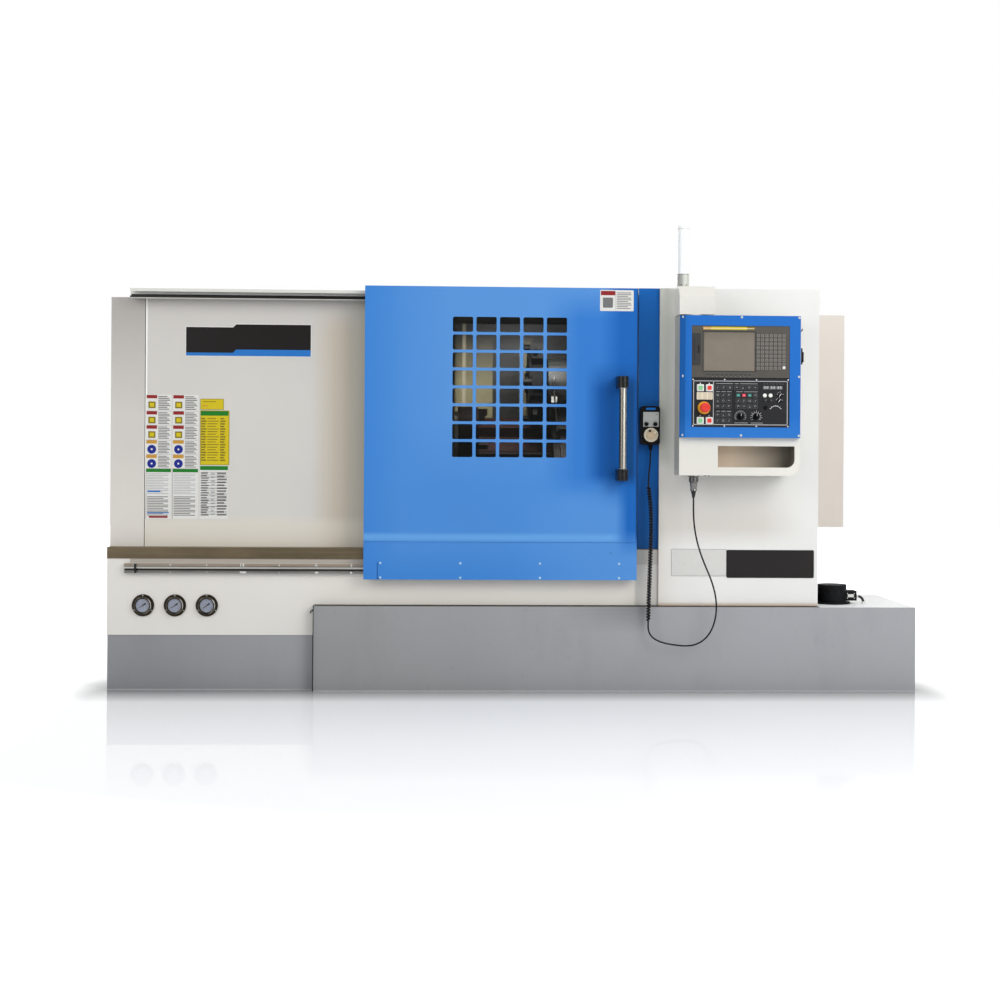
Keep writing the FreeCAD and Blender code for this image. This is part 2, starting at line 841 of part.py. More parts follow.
def chuck_body():
    """Power chuck: a short cylinder with a chamfered rim, a through hole and radial slots."""
    body = cylinder_x(chuck_r, chuck_back_x, chuck_face_x, spindle_y, spindle_z)
    rim = [edge for edge in body.Edges if edge.BoundBox.XMin > chuck_face_x - past]
    body = body.makeChamfer(chuck_chamfer, rim)
    body = body.cut(cylinder_x(chuck_bore_r, chuck_back_x - past, chuck_face_x + past, spindle_y,
                               spindle_z))
    for index in range(jaw_count):
        body = body.cut(radial_box(chuck_face_x - jaw_key_depth, chuck_face_x + past, 0, chuck_r + past,
                                   jaw_width + 2 * seat_gap, index * 360 / jaw_count))
    return body


def chuck_jaw(index):
    """Stepped hard jaw with its key in the chuck's slot."""
    angle = index * 360 / jaw_count
    root = chuck_face_x - jaw_key_depth + seat_gap
    key = radial_box(root, chuck_face_x, jaw_inner_r, jaw_key_outer_r, jaw_width, angle)
    steps = []
    for share, inner_r in ((0.45, jaw_inner_r), (0.75, jaw_step_r), (1.0, jaw_tip_r)):
        steps.append(radial_box(chuck_face_x, chuck_face_x + jaw_height * share, inner_r, jaw_outer_r,
                                jaw_width, angle))
    return joined(key, *steps)


def main_motor():
    """Spindle motor on its foot, lying parallel to the spindle, with its fan cover and terminal box."""
    housing = cylinder_x(motor_r, motor_left_x, motor_right_x, motor_y, motor_z)
    fan_cover = cylinder_x(motor_r - fan_cover_step, motor_left_x - fan_cover_length, motor_left_x,
                           motor_y, motor_z)
    shaft = cylinder_x(motor_shaft_r, motor_right_x, pulley_right_x - nose_gap, motor_y, motor_z)
    foot = box(motor_left_x + motor_foot_inset, motor_right_x - motor_foot_inset, motor_y - motor_foot_half,
               motor_y + motor_foot_half, base_height, motor_z - motor_r / 2)
    middle_x = (motor_left_x + motor_right_x) / 2
    terminal = box(middle_x - terminal_length / 2, middle_x + terminal_length / 2, motor_y - terminal_half,
                   motor_y + terminal_half, motor_z + motor_r / 2, motor_z + motor_r + terminal_height)
    return joined(housing, fan_cover, shaft, foot, terminal)


def motor_pulley():
    pulley = cylinder_x(motor_pulley_r, pulley_x, pulley_right_x, motor_y, motor_z)
    return pulley.cut(cylinder_x(motor_shaft_r + run_gap, pulley_x - past, pulley_right_x + past, motor_y,
                                 motor_z))


def belt_outline(r_top, r_low):
    """Face bounded by two arcs and their two outer tangents, in the YZ plane."""
    dy = spindle_y - motor_y
    dz = spindle_z - motor_z
    span = math.hypot(dy, dz)
    heading = math.atan2(dz, dy)
    lean = math.acos((r_low - r_top) / span)
    x = pulley_x + (pulley_length - belt_width) / 2

    def rim(centre, radius, angle):
        return Vec(x, centre[0] + radius * math.cos(angle), centre[1] + radius * math.sin(angle))

    top = (spindle_y, spindle_z)
    low = (motor_y, motor_z)
    one = heading + lean
    two = heading - lean
    wire = Part.Wire([
        Part.Arc(rim(top, r_top, one), rim(top, r_top, heading), rim(top, r_top, two)).toShape(),
        Part.makeLine(rim(top, r_top, two), rim(low, r_low, two)),
        Part.Arc(rim(low, r_low, two), rim(low, r_low, heading + math.pi), rim(low, r_low, one)).toShape(),
        Part.makeLine(rim(low, r_low, one), rim(top, r_top, one))])
    return Part.Face(wire)


def drive_belt():
    """Flat loop of belt round both pulleys."""
    outer = belt_outline(spindle_pulley_r + belt_thickness, motor_pulley_r + belt_thickness)
    inner = belt_outline(spindle_pulley_r + seat_gap, motor_pulley_r + seat_gap)
    return outer.cut(inner).extrude(Vec(belt_width, 0, 0)).Solids[0]


# ---- saddle, turret, tailstock

def saddle():
    """Saddle on the two upper ways, with the screw's nut below and the cross slide's rails above."""
    skirt_n = skirt_gap - bed_drop
    high_edge_t = high_way_t + high_way_pitch + high_way_width
    plate = box(saddle_x, saddle_right_x, saddle_low_t, saddle_high_t, saddle_under_n, saddle_top_n)
    low_skirt = box(saddle_x, saddle_right_x, saddle_low_t, high_way_t - seat_gap, skirt_n,
                    saddle_under_n + past)
    high_skirt = box(saddle_x, saddle_right_x, high_edge_t + seat_gap, saddle_high_t, skirt_n,
                     saddle_under_n + past)
    middle_x = (saddle_x + saddle_right_x) / 2
    nut = box(middle_x - nut_length / 2, middle_x + nut_length / 2, screw_t - nut_half, screw_t + nut_half,
              screw_n - nut_height, saddle_under_n + past)
    rails = []
    for left in (saddle_x + cross_rail_inset, saddle_right_x - cross_rail_inset - cross_rail_width):
        rails.append(box(left, left + cross_rail_width, cross_rail_low_t, cross_rail_high_t,
                         saddle_top_n - past, saddle_top_n + cross_rail_height))
    body = joined(plate, low_skirt, high_skirt, nut, *rails)
    return on_slope(body.cut(cylinder_x(screw_r + run_gap, saddle_x, saddle_right_x, screw_t, screw_n)))


def z_screw():
    """Ball screw that drives the saddle, turned down at both ends to its bearing journals."""
    thread_left_x = way_left_x + screw_block_length + screw_end_gap
    thread_right_x = bed_right_x - screw_block_length - screw_end_gap
    thread = cylinder_x(screw_r, thread_left_x, thread_right_x, screw_t, screw_n)
    journals = cylinder_x(screw_journal_r, way_left_x + screw_end_gap, bed_right_x - screw_end_gap,
                          screw_t, screw_n)
    return on_slope(joined(thread, journals))


def cross_slide():
    """Cross slide with the turret's indexing housing and motor bolted on it."""
    left = saddle_x + cross_slide_inset
    right = saddle_right_x - cross_slide_inset
    plate = box(left, right, cross_slide_t, cross_slide_t + cross_slide_length, cross_under_n,
                cross_under_n + cross_slide_height)
    pedestal = prism_x([(turret_t - pedestal_foot, cross_under_n + past),
                        (turret_t + pedestal_foot, cross_under_n + past),
                        (turret_t + pedestal_head, 0), (turret_t - pedestal_head, 0)],
                       left + cross_slide_inset, right - cross_slide_inset)
    housing = cylinder_x(turret_housing_r, turret_face_x + turret_hub_length, right, turret_t, 0)
    motor = cylinder_x(turret_motor_r, right - past, right + turret_motor_length, turret_t, 0)
    return on_slope(joined(plate, pedestal, housing, motor))


def turret_disc():
    """Turret disc with a flat and a tool block for each station, its cap in front and its hub behind."""
    corners = []
    for index in range(tool_stations):
        angle = 2 * math.pi * (index + 0.5) / tool_stations
        corners.append((turret_t + turret_r * math.cos(angle), turret_r * math.sin(angle)))
    disc = prism_x(corners, turret_x, turret_face_x)
    hub = cylinder_x(turret_hub_r, turret_face_x - past, turret_face_x + turret_hub_length - seat_gap,
                     turret_t, 0)
    cap = cylinder_x(turret_cap_r, turret_x - turret_cap_proud, turret_x + past, turret_t, 0)
    flat_r = turret_r * math.cos(math.pi / tool_stations)
    block_top = flat_r + tool_block_height
    tools = []
    for index in range(tool_stations):
        block = box(turret_x + tool_block_inset, turret_face_x - tool_block_inset, -tool_block_half,
                    tool_block_half,
                    flat_r - past, block_top)
        if index % 2:
            tool = Part.makeCylinder(bar_tool_r, bar_tool_proud + turret_thickness - tool_block_inset,
                                     Vec(turret_x - bar_tool_proud, 0,
                                         flat_r + tool_block_height / 2), Vec(1, 0, 0))
        else:
            near = turret_x + 2 * tool_block_inset
            tool = box(near, near + turning_tool_width, -turning_tool_width / 2, turning_tool_width / 2,
                       block_top - past, tool_reach)
        block = block.fuse(tool)
        block.rotate(Vec(0, 0, 0), Vec(1, 0, 0), 360.0 * index / tool_stations)
        block.translate(Vec(0, turret_t, 0))
        tools.append(block)
    return on_slope(joined(disc, hub, cap, *tools))


def tailstock():
    """Tailstock: foot on the two lower ways, a leaning column and the quill's barrel."""
    under = way_top_n + seat_gap
    foot_low_t = low_way_t - tail_foot_overlap
    foot_high_t = low_way_t + low_way_pitch + low_way_width + tail_foot_overlap
    foot_top_n = under + tail_foot_thickness
    foot = box(tail_x, tail_right_x, foot_low_t, foot_high_t, under, foot_top_n)
    skirt = box(tail_x, tail_right_x, foot_low_t, low_way_t - seat_gap, skirt_gap - bed_drop, under + past)
    column = prism_x([(foot_low_t + tail_foot_overlap, foot_top_n - past),
                      (foot_high_t - past, foot_top_n - past),
                      (-tail_barrel_r * 0.8, -tail_barrel_r * 0.6), (0, -tail_barrel_r * 0.9),
                      (-tail_barrel_r * 0.5, tail_barrel_r * 0.8),
                      (-tail_barrel_r * 1.9, tail_barrel_r * 0.2)],
                     tail_x + tail_column_inset, tail_right_x - tail_column_inset)
    barrel = cylinder_x(tail_barrel_r, tail_x, tail_right_x, 0, 0)
    body = on_slope(joined(foot, skirt, column, barrel))
    return body.cut(cylinder_x(quill_r + run_gap, tail_x - past, tail_right_x - quill_bore_wall, spindle_y,
                               spindle_z))


def quill():
    """Quill with its live centre."""
    left = tail_x - quill_proud
    collar_left = left - centre_collar_length
    tube = cylinder_x(quill_r, left, left + quill_length, spindle_y, spindle_z)
    collar = cylinder_x(centre_collar_r, collar_left, left, spindle_y, spindle_z)
    point = Part.makeCone(centre_tip_r, centre_base_r, centre_length,
                          Vec(collar_left - centre_length, spindle_y, spindle_z), Vec(1, 0, 0))
    return joined(tube, collar, point)


# ---- enclosure

def with_louvres(plate, count, low, cutter):
    """Slots cut through a cover one above the other; cutter makes one slot from its lower edge."""
    return plate.cut(Part.makeCompound([cutter(low + index * louvre_pitch) for index in range(count)]))


def lower_front_cover():
    """Cover below the sill, cut out above the tank, with a flange at its left end."""
    step_x = tank_left_x - seat_gap
    right = cabinet_x - seat_gap
    top = sill_top - sheet
    outline = [(x_left, plinth_height + sheet), (step_x, plinth_height + sheet), (step_x, cabinet_bottom),
               (right, cabinet_bottom), (right, top), (x_left, top)]
    plate = prism_y(outline, front_y, front_y + sheet)
    flange = box(x_left, x_left + sheet, front_y, panel_y + sheet, plinth_height + sheet, top)
    foot = box(x_left, step_x, front_y, front_y + fold_depth, plinth_height, plinth_height + sheet)
    return joined(plate, flange, foot)


def sill_cap():
    """Stainless cap folded over the top of the lower cover, its lip ending beside the door."""
    lip_y = front_y - sheet
    line = [(panel_y + sheet, sill_top), (lip_y, sill_top), (lip_y, sill_bottom)]
    lip_right_x = door_right_x + post_gap / 2
    strip = box(lip_right_x - past, cabinet_x - seat_gap, front_y, panel_y + sheet, sill_top - sheet,
                sill_top)
    return joined(folded_sheet(line, sheet, x_left, lip_right_x), strip)


def bottom_rail():
    """Guide rail screwed to the lower cover: a flat bar with a groove under a raised rib."""
    face = rail_face_y
    step = face + rail_rib
    groove = face + rail_groove_depth
    profile = [(front_y, rail_bottom), (front_y, rail_bottom + rail_height),
               (step, rail_bottom + rail_height), (step, rail_middle + rail_rib_high),
               (face, rail_middle + rail_rib_high), (face, rail_middle + rail_rib_low),
               (groove, rail_middle + rail_rib_low), (groove, rail_middle - rail_groove_low),
               (step, rail_middle - rail_groove_low), (step, rail_bottom)]
    return prism_x(profile, x_left + rail_start, door_right_x - rail_end_inset)


def top_rail():
    """C shaped rail in which the door's rollers run, screwed to the roof's turned up edge."""
    left = x_left + top_rail_start
    right = door_right_x - rail_end_inset
    slot_low = roller_z - rail_slot_height / 2 - seat_gap
    rail = box(left, right, top_rail_face_y, roof_edge_y, top_rail_bottom, top_rail_top)
    inside = box(left - past, right + past, top_rail_face_y + sheet, roof_edge_y - sheet,
                 top_rail_bottom + top_rail_wall, top_rail_top - top_rail_wall)
    slot = box(left - past, right + past, top_rail_face_y - past, top_rail_face_y + sheet + past, slot_low,
               slot_low + rail_slot_height)
    return rail.cut(inside).cut(slot)


def roof_panel():
    """Roof with its front edge turned up behind the top rail."""
    left = x_left + roof_start
    flat = box(left, x_right, roof_edge_y, rear_y, roof_height, roof_height + sheet)
    lip = box(left, cabinet_x - seat_gap, roof_edge_y, roof_edge_y + sheet, roof_height, top_rail_top)
    return joined(flat, lip)


def left_front_panel():
    left = x_left + left_column_width + panel_joint
    return tray(left, opening_left_x, sill_top, roof_height, panel_y, fold_depth)


def left_end_cover():
    """End cover folded round the front corner and under the roof, with louvres beside the drive."""
    side = box(x_left, x_left + sheet, panel_y + sheet, rear_y - sheet, plinth_height + sheet, roof_height)
    front = box(x_left, x_left + left_column_width, panel_y, panel_y + sheet, sill_top, roof_height)
    edge_right = x_left + left_column_width
    edge = box(edge_right - sheet, edge_right, panel_y, panel_y + fold_depth, sill_top, roof_height)
    top = box(x_left, x_left + roof_start + roof_lap, panel_y, rear_y - sheet, roof_height - sheet,
              roof_height)
    near = spindle_y + louvre_inset

    def slot(low):
        return box(x_left - past, x_left + sheet + past, near, near + louvre_length, low,
                   low + louvre_height)

    return with_louvres(joined(side, front, edge, top), louvre_count, drive_louvre_low, slot)


def right_end_cover():
    """End cover of the tail end, with louvres for the warm air."""
    plate = box(x_right - sheet, x_right, roof_edge_y, rear_y - sheet, base_height, roof_height)
    far = spindle_y + 2 * louvre_inset

    def slot(low):
        return box(x_right - sheet - past, x_right + past, far - louvre_length, far, low,
                   low + louvre_height)

    return with_louvres(plate, louvre_count, warm_air_louvre_low, slot)


def rear_cover():
    """Rear cover with a row of louvres behind the drive."""
    plate = box(x_left, x_right, rear_y - sheet, rear_y, base_height - rear_cover_drop, roof_height)
    left = x_left + rear_louvre_start

    def slot(low):
        return box(left, left + rear_louvre_length, rear_y - sheet - past, rear_y + past, low,
                   low + louvre_height)

    return with_louvres(plate, rear_louvre_count, rear_louvre_low, slot)


def fixed_post():
    """Post at the right of the door, folded to a channel and notched for the roof."""
    post = box(post_x, post_right_x, post_y, panel_y, sill_top, post_top)
    hollow = box(post_x + sheet, post_right_x - sheet, post_y + sheet, panel_y + past, sill_top + sheet,
                 post_top - sheet)
    notch = box(post_x - past, cabinet_x, roof_edge_y - seat_gap, panel_y + past, roof_height - seat_gap,
                post_top + past)
    return post.cut(hollow).cut(notch)


def right_front_cabinet():
    return tray(cabinet_x, x_right, cabinet_bottom, cabinet_top, cabinet_y, roof_edge_y - cabinet_y)


def headstock_guard():
    """Cover in front of the headstock and the wall that the spindle's nose comes through."""
    guard_y = panel_y + fold_depth / 2
    top = roof_height - seat_gap
    front = box(opening_left_x, guard_wall_x, guard_y, guard_y + sheet, sill_top, top)
    wall = box(guard_wall_x - sheet, guard_wall_x, guard_y, base_rear_y, sill_top, top)
    around_bed = prism_x(bed_outline(nose_gap), guard_wall_x - sheet - past, guard_wall_x + past)
    nose_hole = cylinder_x(nose_flange_r + nose_clearance, guard_wall_x - sheet - past, guard_wall_x + past,
                           spindle_y, spindle_z)
    return joined(front, wall).cut(around_bed).cut(nose_hole)


def chip_pan():
    """Folded pan that leads chips and coolant from the bed to the tank, with drain slots."""
    bed_y, bed_z = slope_point(-bed_front_edge, -bed_drop)
    flange_y = bed_y - sheet - seat_gap
    flange_top = bed_z - pan_flange_drop
    line = [(flange_y, flange_top), (flange_y, flange_top - pan_flange_height),
            (bed_y - pan_slope_run, base_height + pan_back_rise),
            (panel_y + pan_slope_run, base_height + pan_front_rise),
            (panel_y + pan_front_gap, sill_top - sheet - past)]
    pan = folded_sheet(line, sheet, guard_wall_x + pan_start, x_right - sheet - seat_gap)
    near = panel_y + drain_setback
    for index in range(drain_count):
        left = guard_wall_x + drain_start + index * drain_pitch
        pan = pan.cut(box(left, left + drain_length, near, near + drain_width, base_height - drain_width,
                          base_height + drain_width))
    return pan


# ---- sliding door

def door_panel():
    """Door folded from sheet, with the window grille cut through it and two roller hangers inside."""
    door = tray(door_left_x, door_right_x, door_seam, door_top, door_y, door_depth, open_bottom=True)
    holes = []
    for column in range(grille_columns):
        for row in range(grille_rows):
            left = grille_left_x + column * grille_pitch_x
            low = grille_bottom + row * grille_pitch_z
            holes.append(rounded_plate(left, left + grille_hole_w, low, low + grille_hole_h,
                                       grille_corner_r,
                                       door_y - past, door_y + sheet + past))
    door = door.cut(Part.makeCompound(holes))
    hanger_y = door_y + sheet + hanger_depth
    for x in roller_places:
        hanger = box(x - hanger_half, x + hanger_half, door_y + sheet, hanger_y, roller_z - hanger_drop,
                     door_top - sheet)
        stud = cylinder_y(roller_stud_r, hanger_y - past, roller_y + roller_width, x, roller_z)
        door = joined(door, hanger, stud)
    return door


def door_roller(x):
    """Hanger roller turning on the stud in the rail."""
    roller = cylinder_y(roller_r, roller_y, roller_y + roller_width, x, roller_z)
    return roller.cut(cylinder_y(roller_stud_r + run_gap, roller_y - past, roller_y + roller_width + past,
                                 x, roller_z))


def door_skirt():
    """Skirt plate tucked behind the door's lower edge, with two guide shoes in the lower rail."""
    inset = sheet + seat_gap
    back_y = door_y + 2 * sheet
    plate = box(door_left_x + inset, door_right_x - inset, door_y + sheet, back_y, door_bottom,
                door_seam + skirt_lap)
    low_plate = box(door_left_x, door_right_x, door_y + past, back_y, door_bottom, door_seam - skirt_joint)
    sides = []
    for left in (door_left_x, door_right_x - sheet):
        sides.append(box(left, left + sheet, door_y + past, door_y + past + skirt_side_depth, door_bottom,
                         door_seam - skirt_joint))
    clear = seat_gap + 0.2
    shoes = []
    for x in roller_places:
        shoes.append(box(x - shoe_half, x + shoe_half, back_y - past,
                         rail_face_y + rail_groove_depth - clear,
                         rail_middle - rail_groove_low + clear, rail_middle + rail_rib_low - clear))
    return joined(plate, low_plate, *sides, *shoes)


def door_window():
    """Clear pane behind the grille."""
    return box(grille_left_x - window_margin, grille_left_x + grille_width + window_margin, door_y + sheet,
               door_y + sheet + window_thickness, grille_bottom - window_margin,
               grille_bottom + grille_height + window_margin)


def handle_tube():
    """Tube of the pull handle, plugged a little way into each bracket."""
    return cylinder_z(handle_r, handle_bottom + handle_bracket_h - handle_plug,
                      handle_top - handle_bracket_h + handle_plug, handle_x, handle_y)


def handle_brackets():
    """Two moulded brackets with a rounded nose that hold the tube off the door."""
    brackets = []
    nose_r = handle_bracket_w / 2
    for low in (handle_bottom, handle_top - handle_bracket_h):
        stem = box(handle_x - nose_r, handle_x + nose_r, handle_y, door_y, low, low + handle_bracket_h)
        nose = cylinder_z(nose_r, low, low + handle_bracket_h, handle_x, handle_y)
        brackets.append(joined(stem, nose).cut(handle_tube()))
    return brackets


# ---- tank, pump, gauges, lamp, rear cabinet

def coolant_tank():
    """Long tank under the front of the machine, open to the chip pan and decked at the right end."""
    wall = tank_wall
    tank = box(tank_left_x, tank_right_x, tank_y, tank_rear_y, 0, tank_height)
    well = box(tank_left_x + wall, tank_deck_x, tank_y + wall, tank_rear_y - wall, wall, tank_height + past)
    decked = box(tank_deck_x + wall, tank_right_x - wall, tank_y + wall, tank_rear_y - wall, wall,
                 tank_height - wall)
    lip = box(tank_left_x, tank_deck_x, tank_y, tank_y + tank_lip, tank_height - wall, tank_height)
    return joined(tank.cut(well).cut(decked), lip)


def coolant_pump():
    """Immersed pump standing on the tank's deck: flange, motor, fan cover and terminal box."""
    x = x_right + pump_start
    y = tank_y + pump_setback
    deck = tank_height + pump_flange_depth
    motor_top = tank_height + pump_motor_height
    flange = cylinder_z(pump_flange_r, tank_height, deck, x, y)
    motor = cylinder_z(pump_motor_r, deck - past, motor_top, x, y)
    cover = cylinder_z(pump_cover_r, motor_top, motor_top + pump_cover_height, x, y)
    terminal_top = motor_top - pump_flange_depth / 2
    terminal = box(x, x + pump_motor_r + pump_terminal_depth, y - pump_terminal_half,
                   y + pump_terminal_half, terminal_top - pump_terminal_height, terminal_top)
    outlet = faceted_z(pump_outlet_r, 6, deck - past, motor_top, x - pump_outlet_x, y + pump_outlet_y)
    return joined(flange, motor, cover, terminal, outlet)


def pressure_gauges():
    """Dial gauges in a row, each a flanged case with a raised ring round its dial and a needle."""
    gauges = []
    ring_r = gauge_r - gauge_ring_step
    flange_y = front_y - gauge_flange_depth
    ring_y = flange_y - gauge_ring_depth
    dial_y = ring_y + gauge_dial_depth
    for index in range(gauge_count):
        x = x_left + gauge_start + index * gauge_pitch
        flange = cylinder_y(gauge_r, flange_y, front_y, x, gauge_z)
        ring = cylinder_y(ring_r, ring_y, flange_y, x, gauge_z)
        dial_well = cylinder_y(ring_r - gauge_rim, ring_y - past, dial_y, x, gauge_z)
        needle = box(x - needle_width / 2, x + needle_width / 2, dial_y - needle_depth, dial_y + past,
                     gauge_z - needle_tail, gauge_z + ring_r - gauge_rim - needle_gap)
        gauges.append(joined(flange.fuse(ring).cut(dial_well), needle))
    return gauges


def signal_lamp():
    """Column lamp: base and clear tube on the arm."""
    x = pendant_left_x + lamp_inset
    y = arm_front_y + lamp_setback
    foot = cabinet_top - arm_under_top
    shoulder = foot + lamp_base_height
    base = cylinder_z(lamp_r, foot, shoulder, x, y)
    return joined(base, cylinder_z(lamp_r - lamp_tube_step, shoulder, shoulder + lamp_tube_height, x, y))


def electrical_cabinet():
    """Cabinet on the machine's back, open behind its door, with drive units and a cable duct beside it."""
    left, right = rear_cab_left_x, rear_cab_right_x
    duct_x = x_right + side_duct_gap
    duct_y = rear_y - side_duct_forward
    duct_top = rear_cab_top - side_duct_inset
    duct = box(duct_x, right, duct_y, rear_y + past, rear_cab_bottom, duct_top)
    duct = duct.cut(box(duct_x + sheet, right - sheet, duct_y + sheet, rear_y, rear_cab_bottom + sheet,
                        duct_top - sheet))
    case = box(left, right, rear_y, rear_cab_y, rear_cab_bottom, rear_cab_top)
    case = case.cut(box(left + sheet, right - sheet, rear_y + sheet, rear_cab_y + past,
                        rear_cab_bottom + sheet, rear_cab_top - sheet))
    plate_y = rear_y + sheet + plate_depth
    plate = box(left + plate_inset, right - plate_inset, rear_y + sheet, plate_y,
                rear_cab_bottom + plate_inset,
                rear_cab_top - plate_inset)
    units = []
    unit_left = left + 2 * plate_inset
    for index in range(drive_count):
        x = unit_left + index * drive_pitch
        units.append(box(x, x + drive_width, plate_y - past, plate_y + drive_depth,
                         rear_cab_top - drive_drop - drive_height, rear_cab_top - drive_drop))
    units.append(box(unit_left, right - 2 * plate_inset, plate_y - past, plate_y + duct_depth,
                     rear_cab_top - duct_drop - duct_height, rear_cab_top - duct_drop))
    units.append(box(right - 2 * plate_inset - transformer_width, right - 2 * plate_inset, plate_y - past,
                     plate_y + transformer_depth, rear_cab_top - transformer_drop - transformer_height,
                     rear_cab_top - transformer_drop))
    return joined(case, duct, plate, *units)


def cabinet_door():
    """Tray shaped door of the rear cabinet with its isolator switch and closing handle."""
    left, right = rear_cab_left_x, rear_cab_right_x
    inner = rear_cab_y + seat_gap
    outer = inner + rear_door_depth
    door = box(left, right, inner, outer, rear_cab_bottom, rear_cab_top)
    door = door.cut(box(left + sheet, right - sheet, inner - past, outer - sheet, rear_cab_bottom + sheet,
                        rear_cab_top - sheet))
    switch_x = right - switch_inset
    switch_z = rear_cab_top - switch_drop
    boss_y = outer + switch_boss_depth
    boss = cylinder_y(switch_boss_r, outer - past, boss_y, switch_x, switch_z)
    switch = box(switch_x - switch_grip / 2, switch_x + switch_grip / 2, boss_y - past,
                 outer + switch_proud,
                 switch_z - switch_length / 2, switch_z + switch_length / 2)
    latch_x = right - latch_inset
    latch_top = rear_cab_top - latch_drop + latch_length
    latch = box(latch_x, latch_x + latch_width, outer - past, outer + latch_proud, latch_top - latch_length,
                latch_top)
    return joined(door, boss, switch, latch)


# ---- operator pendant

def pendant_arm():
    """Box arm on the cabinet with a sloped top front, and the swivel boss under it."""
    under = pendant_top + arm_rise
    top = cabinet_top - arm_under_top
    profile = [(cabinet_y, under), (arm_front_y, under), (arm_front_y, top - arm_bevel_height),
               (arm_front_y + arm_bevel_depth, top), (cabinet_y, top)]
    left = pendant_left_x + arm_inset
    boss = cylinder_z(pivot_boss_r, pendant_top + seat_gap, under + past, pivot_x, pivot_y)
    return joined(prism_x(profile, left, left + arm_width), boss)


def pendant_housing():
    """Sheet housing with a rounded lower corner, a pocket for the units and a hand slot below."""
    left, right = pendant_left_x, pendant_right_x
    shell = box(left, right, pendant_front_y, pendant_rear_y, pendant_bottom, pendant_top)
    shell = shell.makeFillet(pendant_corner_r, corner_edge(shell, right, pendant_bottom))
    pocket = box(unit_left_x - unit_clearance, unit_right_x + unit_clearance, pendant_front_y - past,
                 pendant_front_y + unit_pocket_depth, panel_bottom - unit_clearance,
                 display_top + unit_clearance)
    slot_left = left + slot_start
    slot_bottom = pendant_bottom + slot_rise
    slot = box(slot_left, slot_left + slot_width, pendant_front_y - past, pendant_front_y + slot_depth,
               slot_bottom,
               slot_bottom + slot_height)
    slot = slot.makeFillet(slot_corner_r, corner_edge(slot, slot_left + slot_width, slot_bottom))
    return shell.cut(pocket).cut(slot)


def corner_edge(shape, x, z):
    """The edge of a box that runs from front to back at x and z."""
    return [edge for edge in shape.Edges
            if abs(edge.CenterOfMass.x - x) < past and abs(edge.CenterOfMass.z - z) < past]


def pendant_bezel():
    """Raised front frame round the display and the operator panel, with a bevelled left side."""
    face = pendant_front_y
    right = pendant_right_x - bezel_inset
    low = pendant_bottom + bezel_rise
    corners = [Vec(pendant_left_x, face, low), Vec(pendant_left_x + bezel_bevel, bezel_y, low),
               Vec(right, bezel_y, low), Vec(right, face, low)]
    frame = Part.Face(Part.makePolygon(corners + corners[:1])).extrude(Vec(0, 0, pendant_top - low))
    return frame.cut(box(unit_left_x, unit_right_x, bezel_y - past, face + past, panel_bottom, display_top))


def display_unit():
    """Display and key unit: sunk screen, a block of keys and a row of soft keys under the screen."""
    left, right = unit_left_x + seat_gap, unit_right_x - seat_gap
    unit = box(left, right, unit_face_y, unit_face_y + display_depth, display_bottom + seat_gap,
               display_top - seat_gap)
    screen_left = unit_left_x + screen_start
    screen_right = screen_left + screen_width
    screen_low = display_bottom + screen_rise
    unit = unit.cut(box(screen_left, screen_right, unit_face_y - past, unit_face_y + screen_depth,
                        screen_low,
                        screen_low + screen_height))
    key_y = unit_face_y - key_proud
    keys = []
    for column in range(key_columns):
        for row in range(key_rows):
            x = screen_right + key_gap + column * key_pitch_x
            z = display_bottom + key_rise + row * key_pitch_z
            keys.append(box(x, x + key_width, key_y, unit_face_y + past, z, z + key_height))
    soft_key_z = display_bottom + soft_key_rise
    for index in range(soft_key_count):
        x = screen_left + soft_key_inset + index * soft_key_pitch
        keys.append(box(x, x + soft_key_width, key_y, unit_face_y + past, soft_key_z,
                        soft_key_z + soft_key_height))
    return joined(unit, *keys)


# groups of flat keys on the operator panel: left edge and lower edge from the panel's lower left corner,
# columns, rows and the pitch of the keys both ways
flat_key_groups = [(97.0, 153.0, 3, 1, 25.4, 24.0), (176.0, 153.0, 4, 1, 25.6, 24.0),
                   (98.3, 77.0, 3, 3, 23.4, 22.6), (183.3, 77.0, 4, 3, 23.6, 22.6),
                   (98.3, 17.0, 3, 2, 23.4, 23.8)]


def operator_panel():
    """Machine panel with groups of flat keys, a digit window and the seats of its buttons and knobs."""
    left, right = unit_left_x + seat_gap, unit_right_x - seat_gap
    panel = box(left, right, unit_face_y, unit_face_y + panel_depth, panel_bottom + seat_gap,
                panel_top - seat_gap)
    keys = []
    for start, rise, columns, rows, pitch_x, pitch_z in flat_key_groups:
        for column in range(columns):
            for row in range(rows):
                x = unit_left_x + start + column * pitch_x
                z = panel_bottom + rise + row * pitch_z
                keys.append(box(x, x + pitch_x - flat_key_gap_x, unit_face_y - flat_key_proud,
                                unit_face_y + past,
                                z, z + pitch_z - flat_key_gap_z))
    digit_x = unit_left_x + digit_start
    digit_z = panel_bottom + digit_rise
    cuts = [box(digit_x, digit_x + digit_width, unit_face_y - past, unit_face_y + digit_depth, digit_z,
                digit_z + digit_height)]
    half = button_size / 2 + seat_gap
    for x, z in button_places:
        cuts.append(box(x - half, x + half, unit_face_y - past, unit_face_y + seat_depth, z - half,
                        z + half))
    cuts.append(cylinder_y(stop_stem_r + seat_gap, unit_face_y - past, unit_face_y + stem_seat_depth,
                           stop_x, stop_z))
    for x in knob_places:
        cuts.append(cylinder_y(knob_stem_r + seat_gap, unit_face_y - past, unit_face_y + stem_seat_depth, x,
                               knob_z))
    return joined(panel, *keys).cut(Part.makeCompound(cuts))


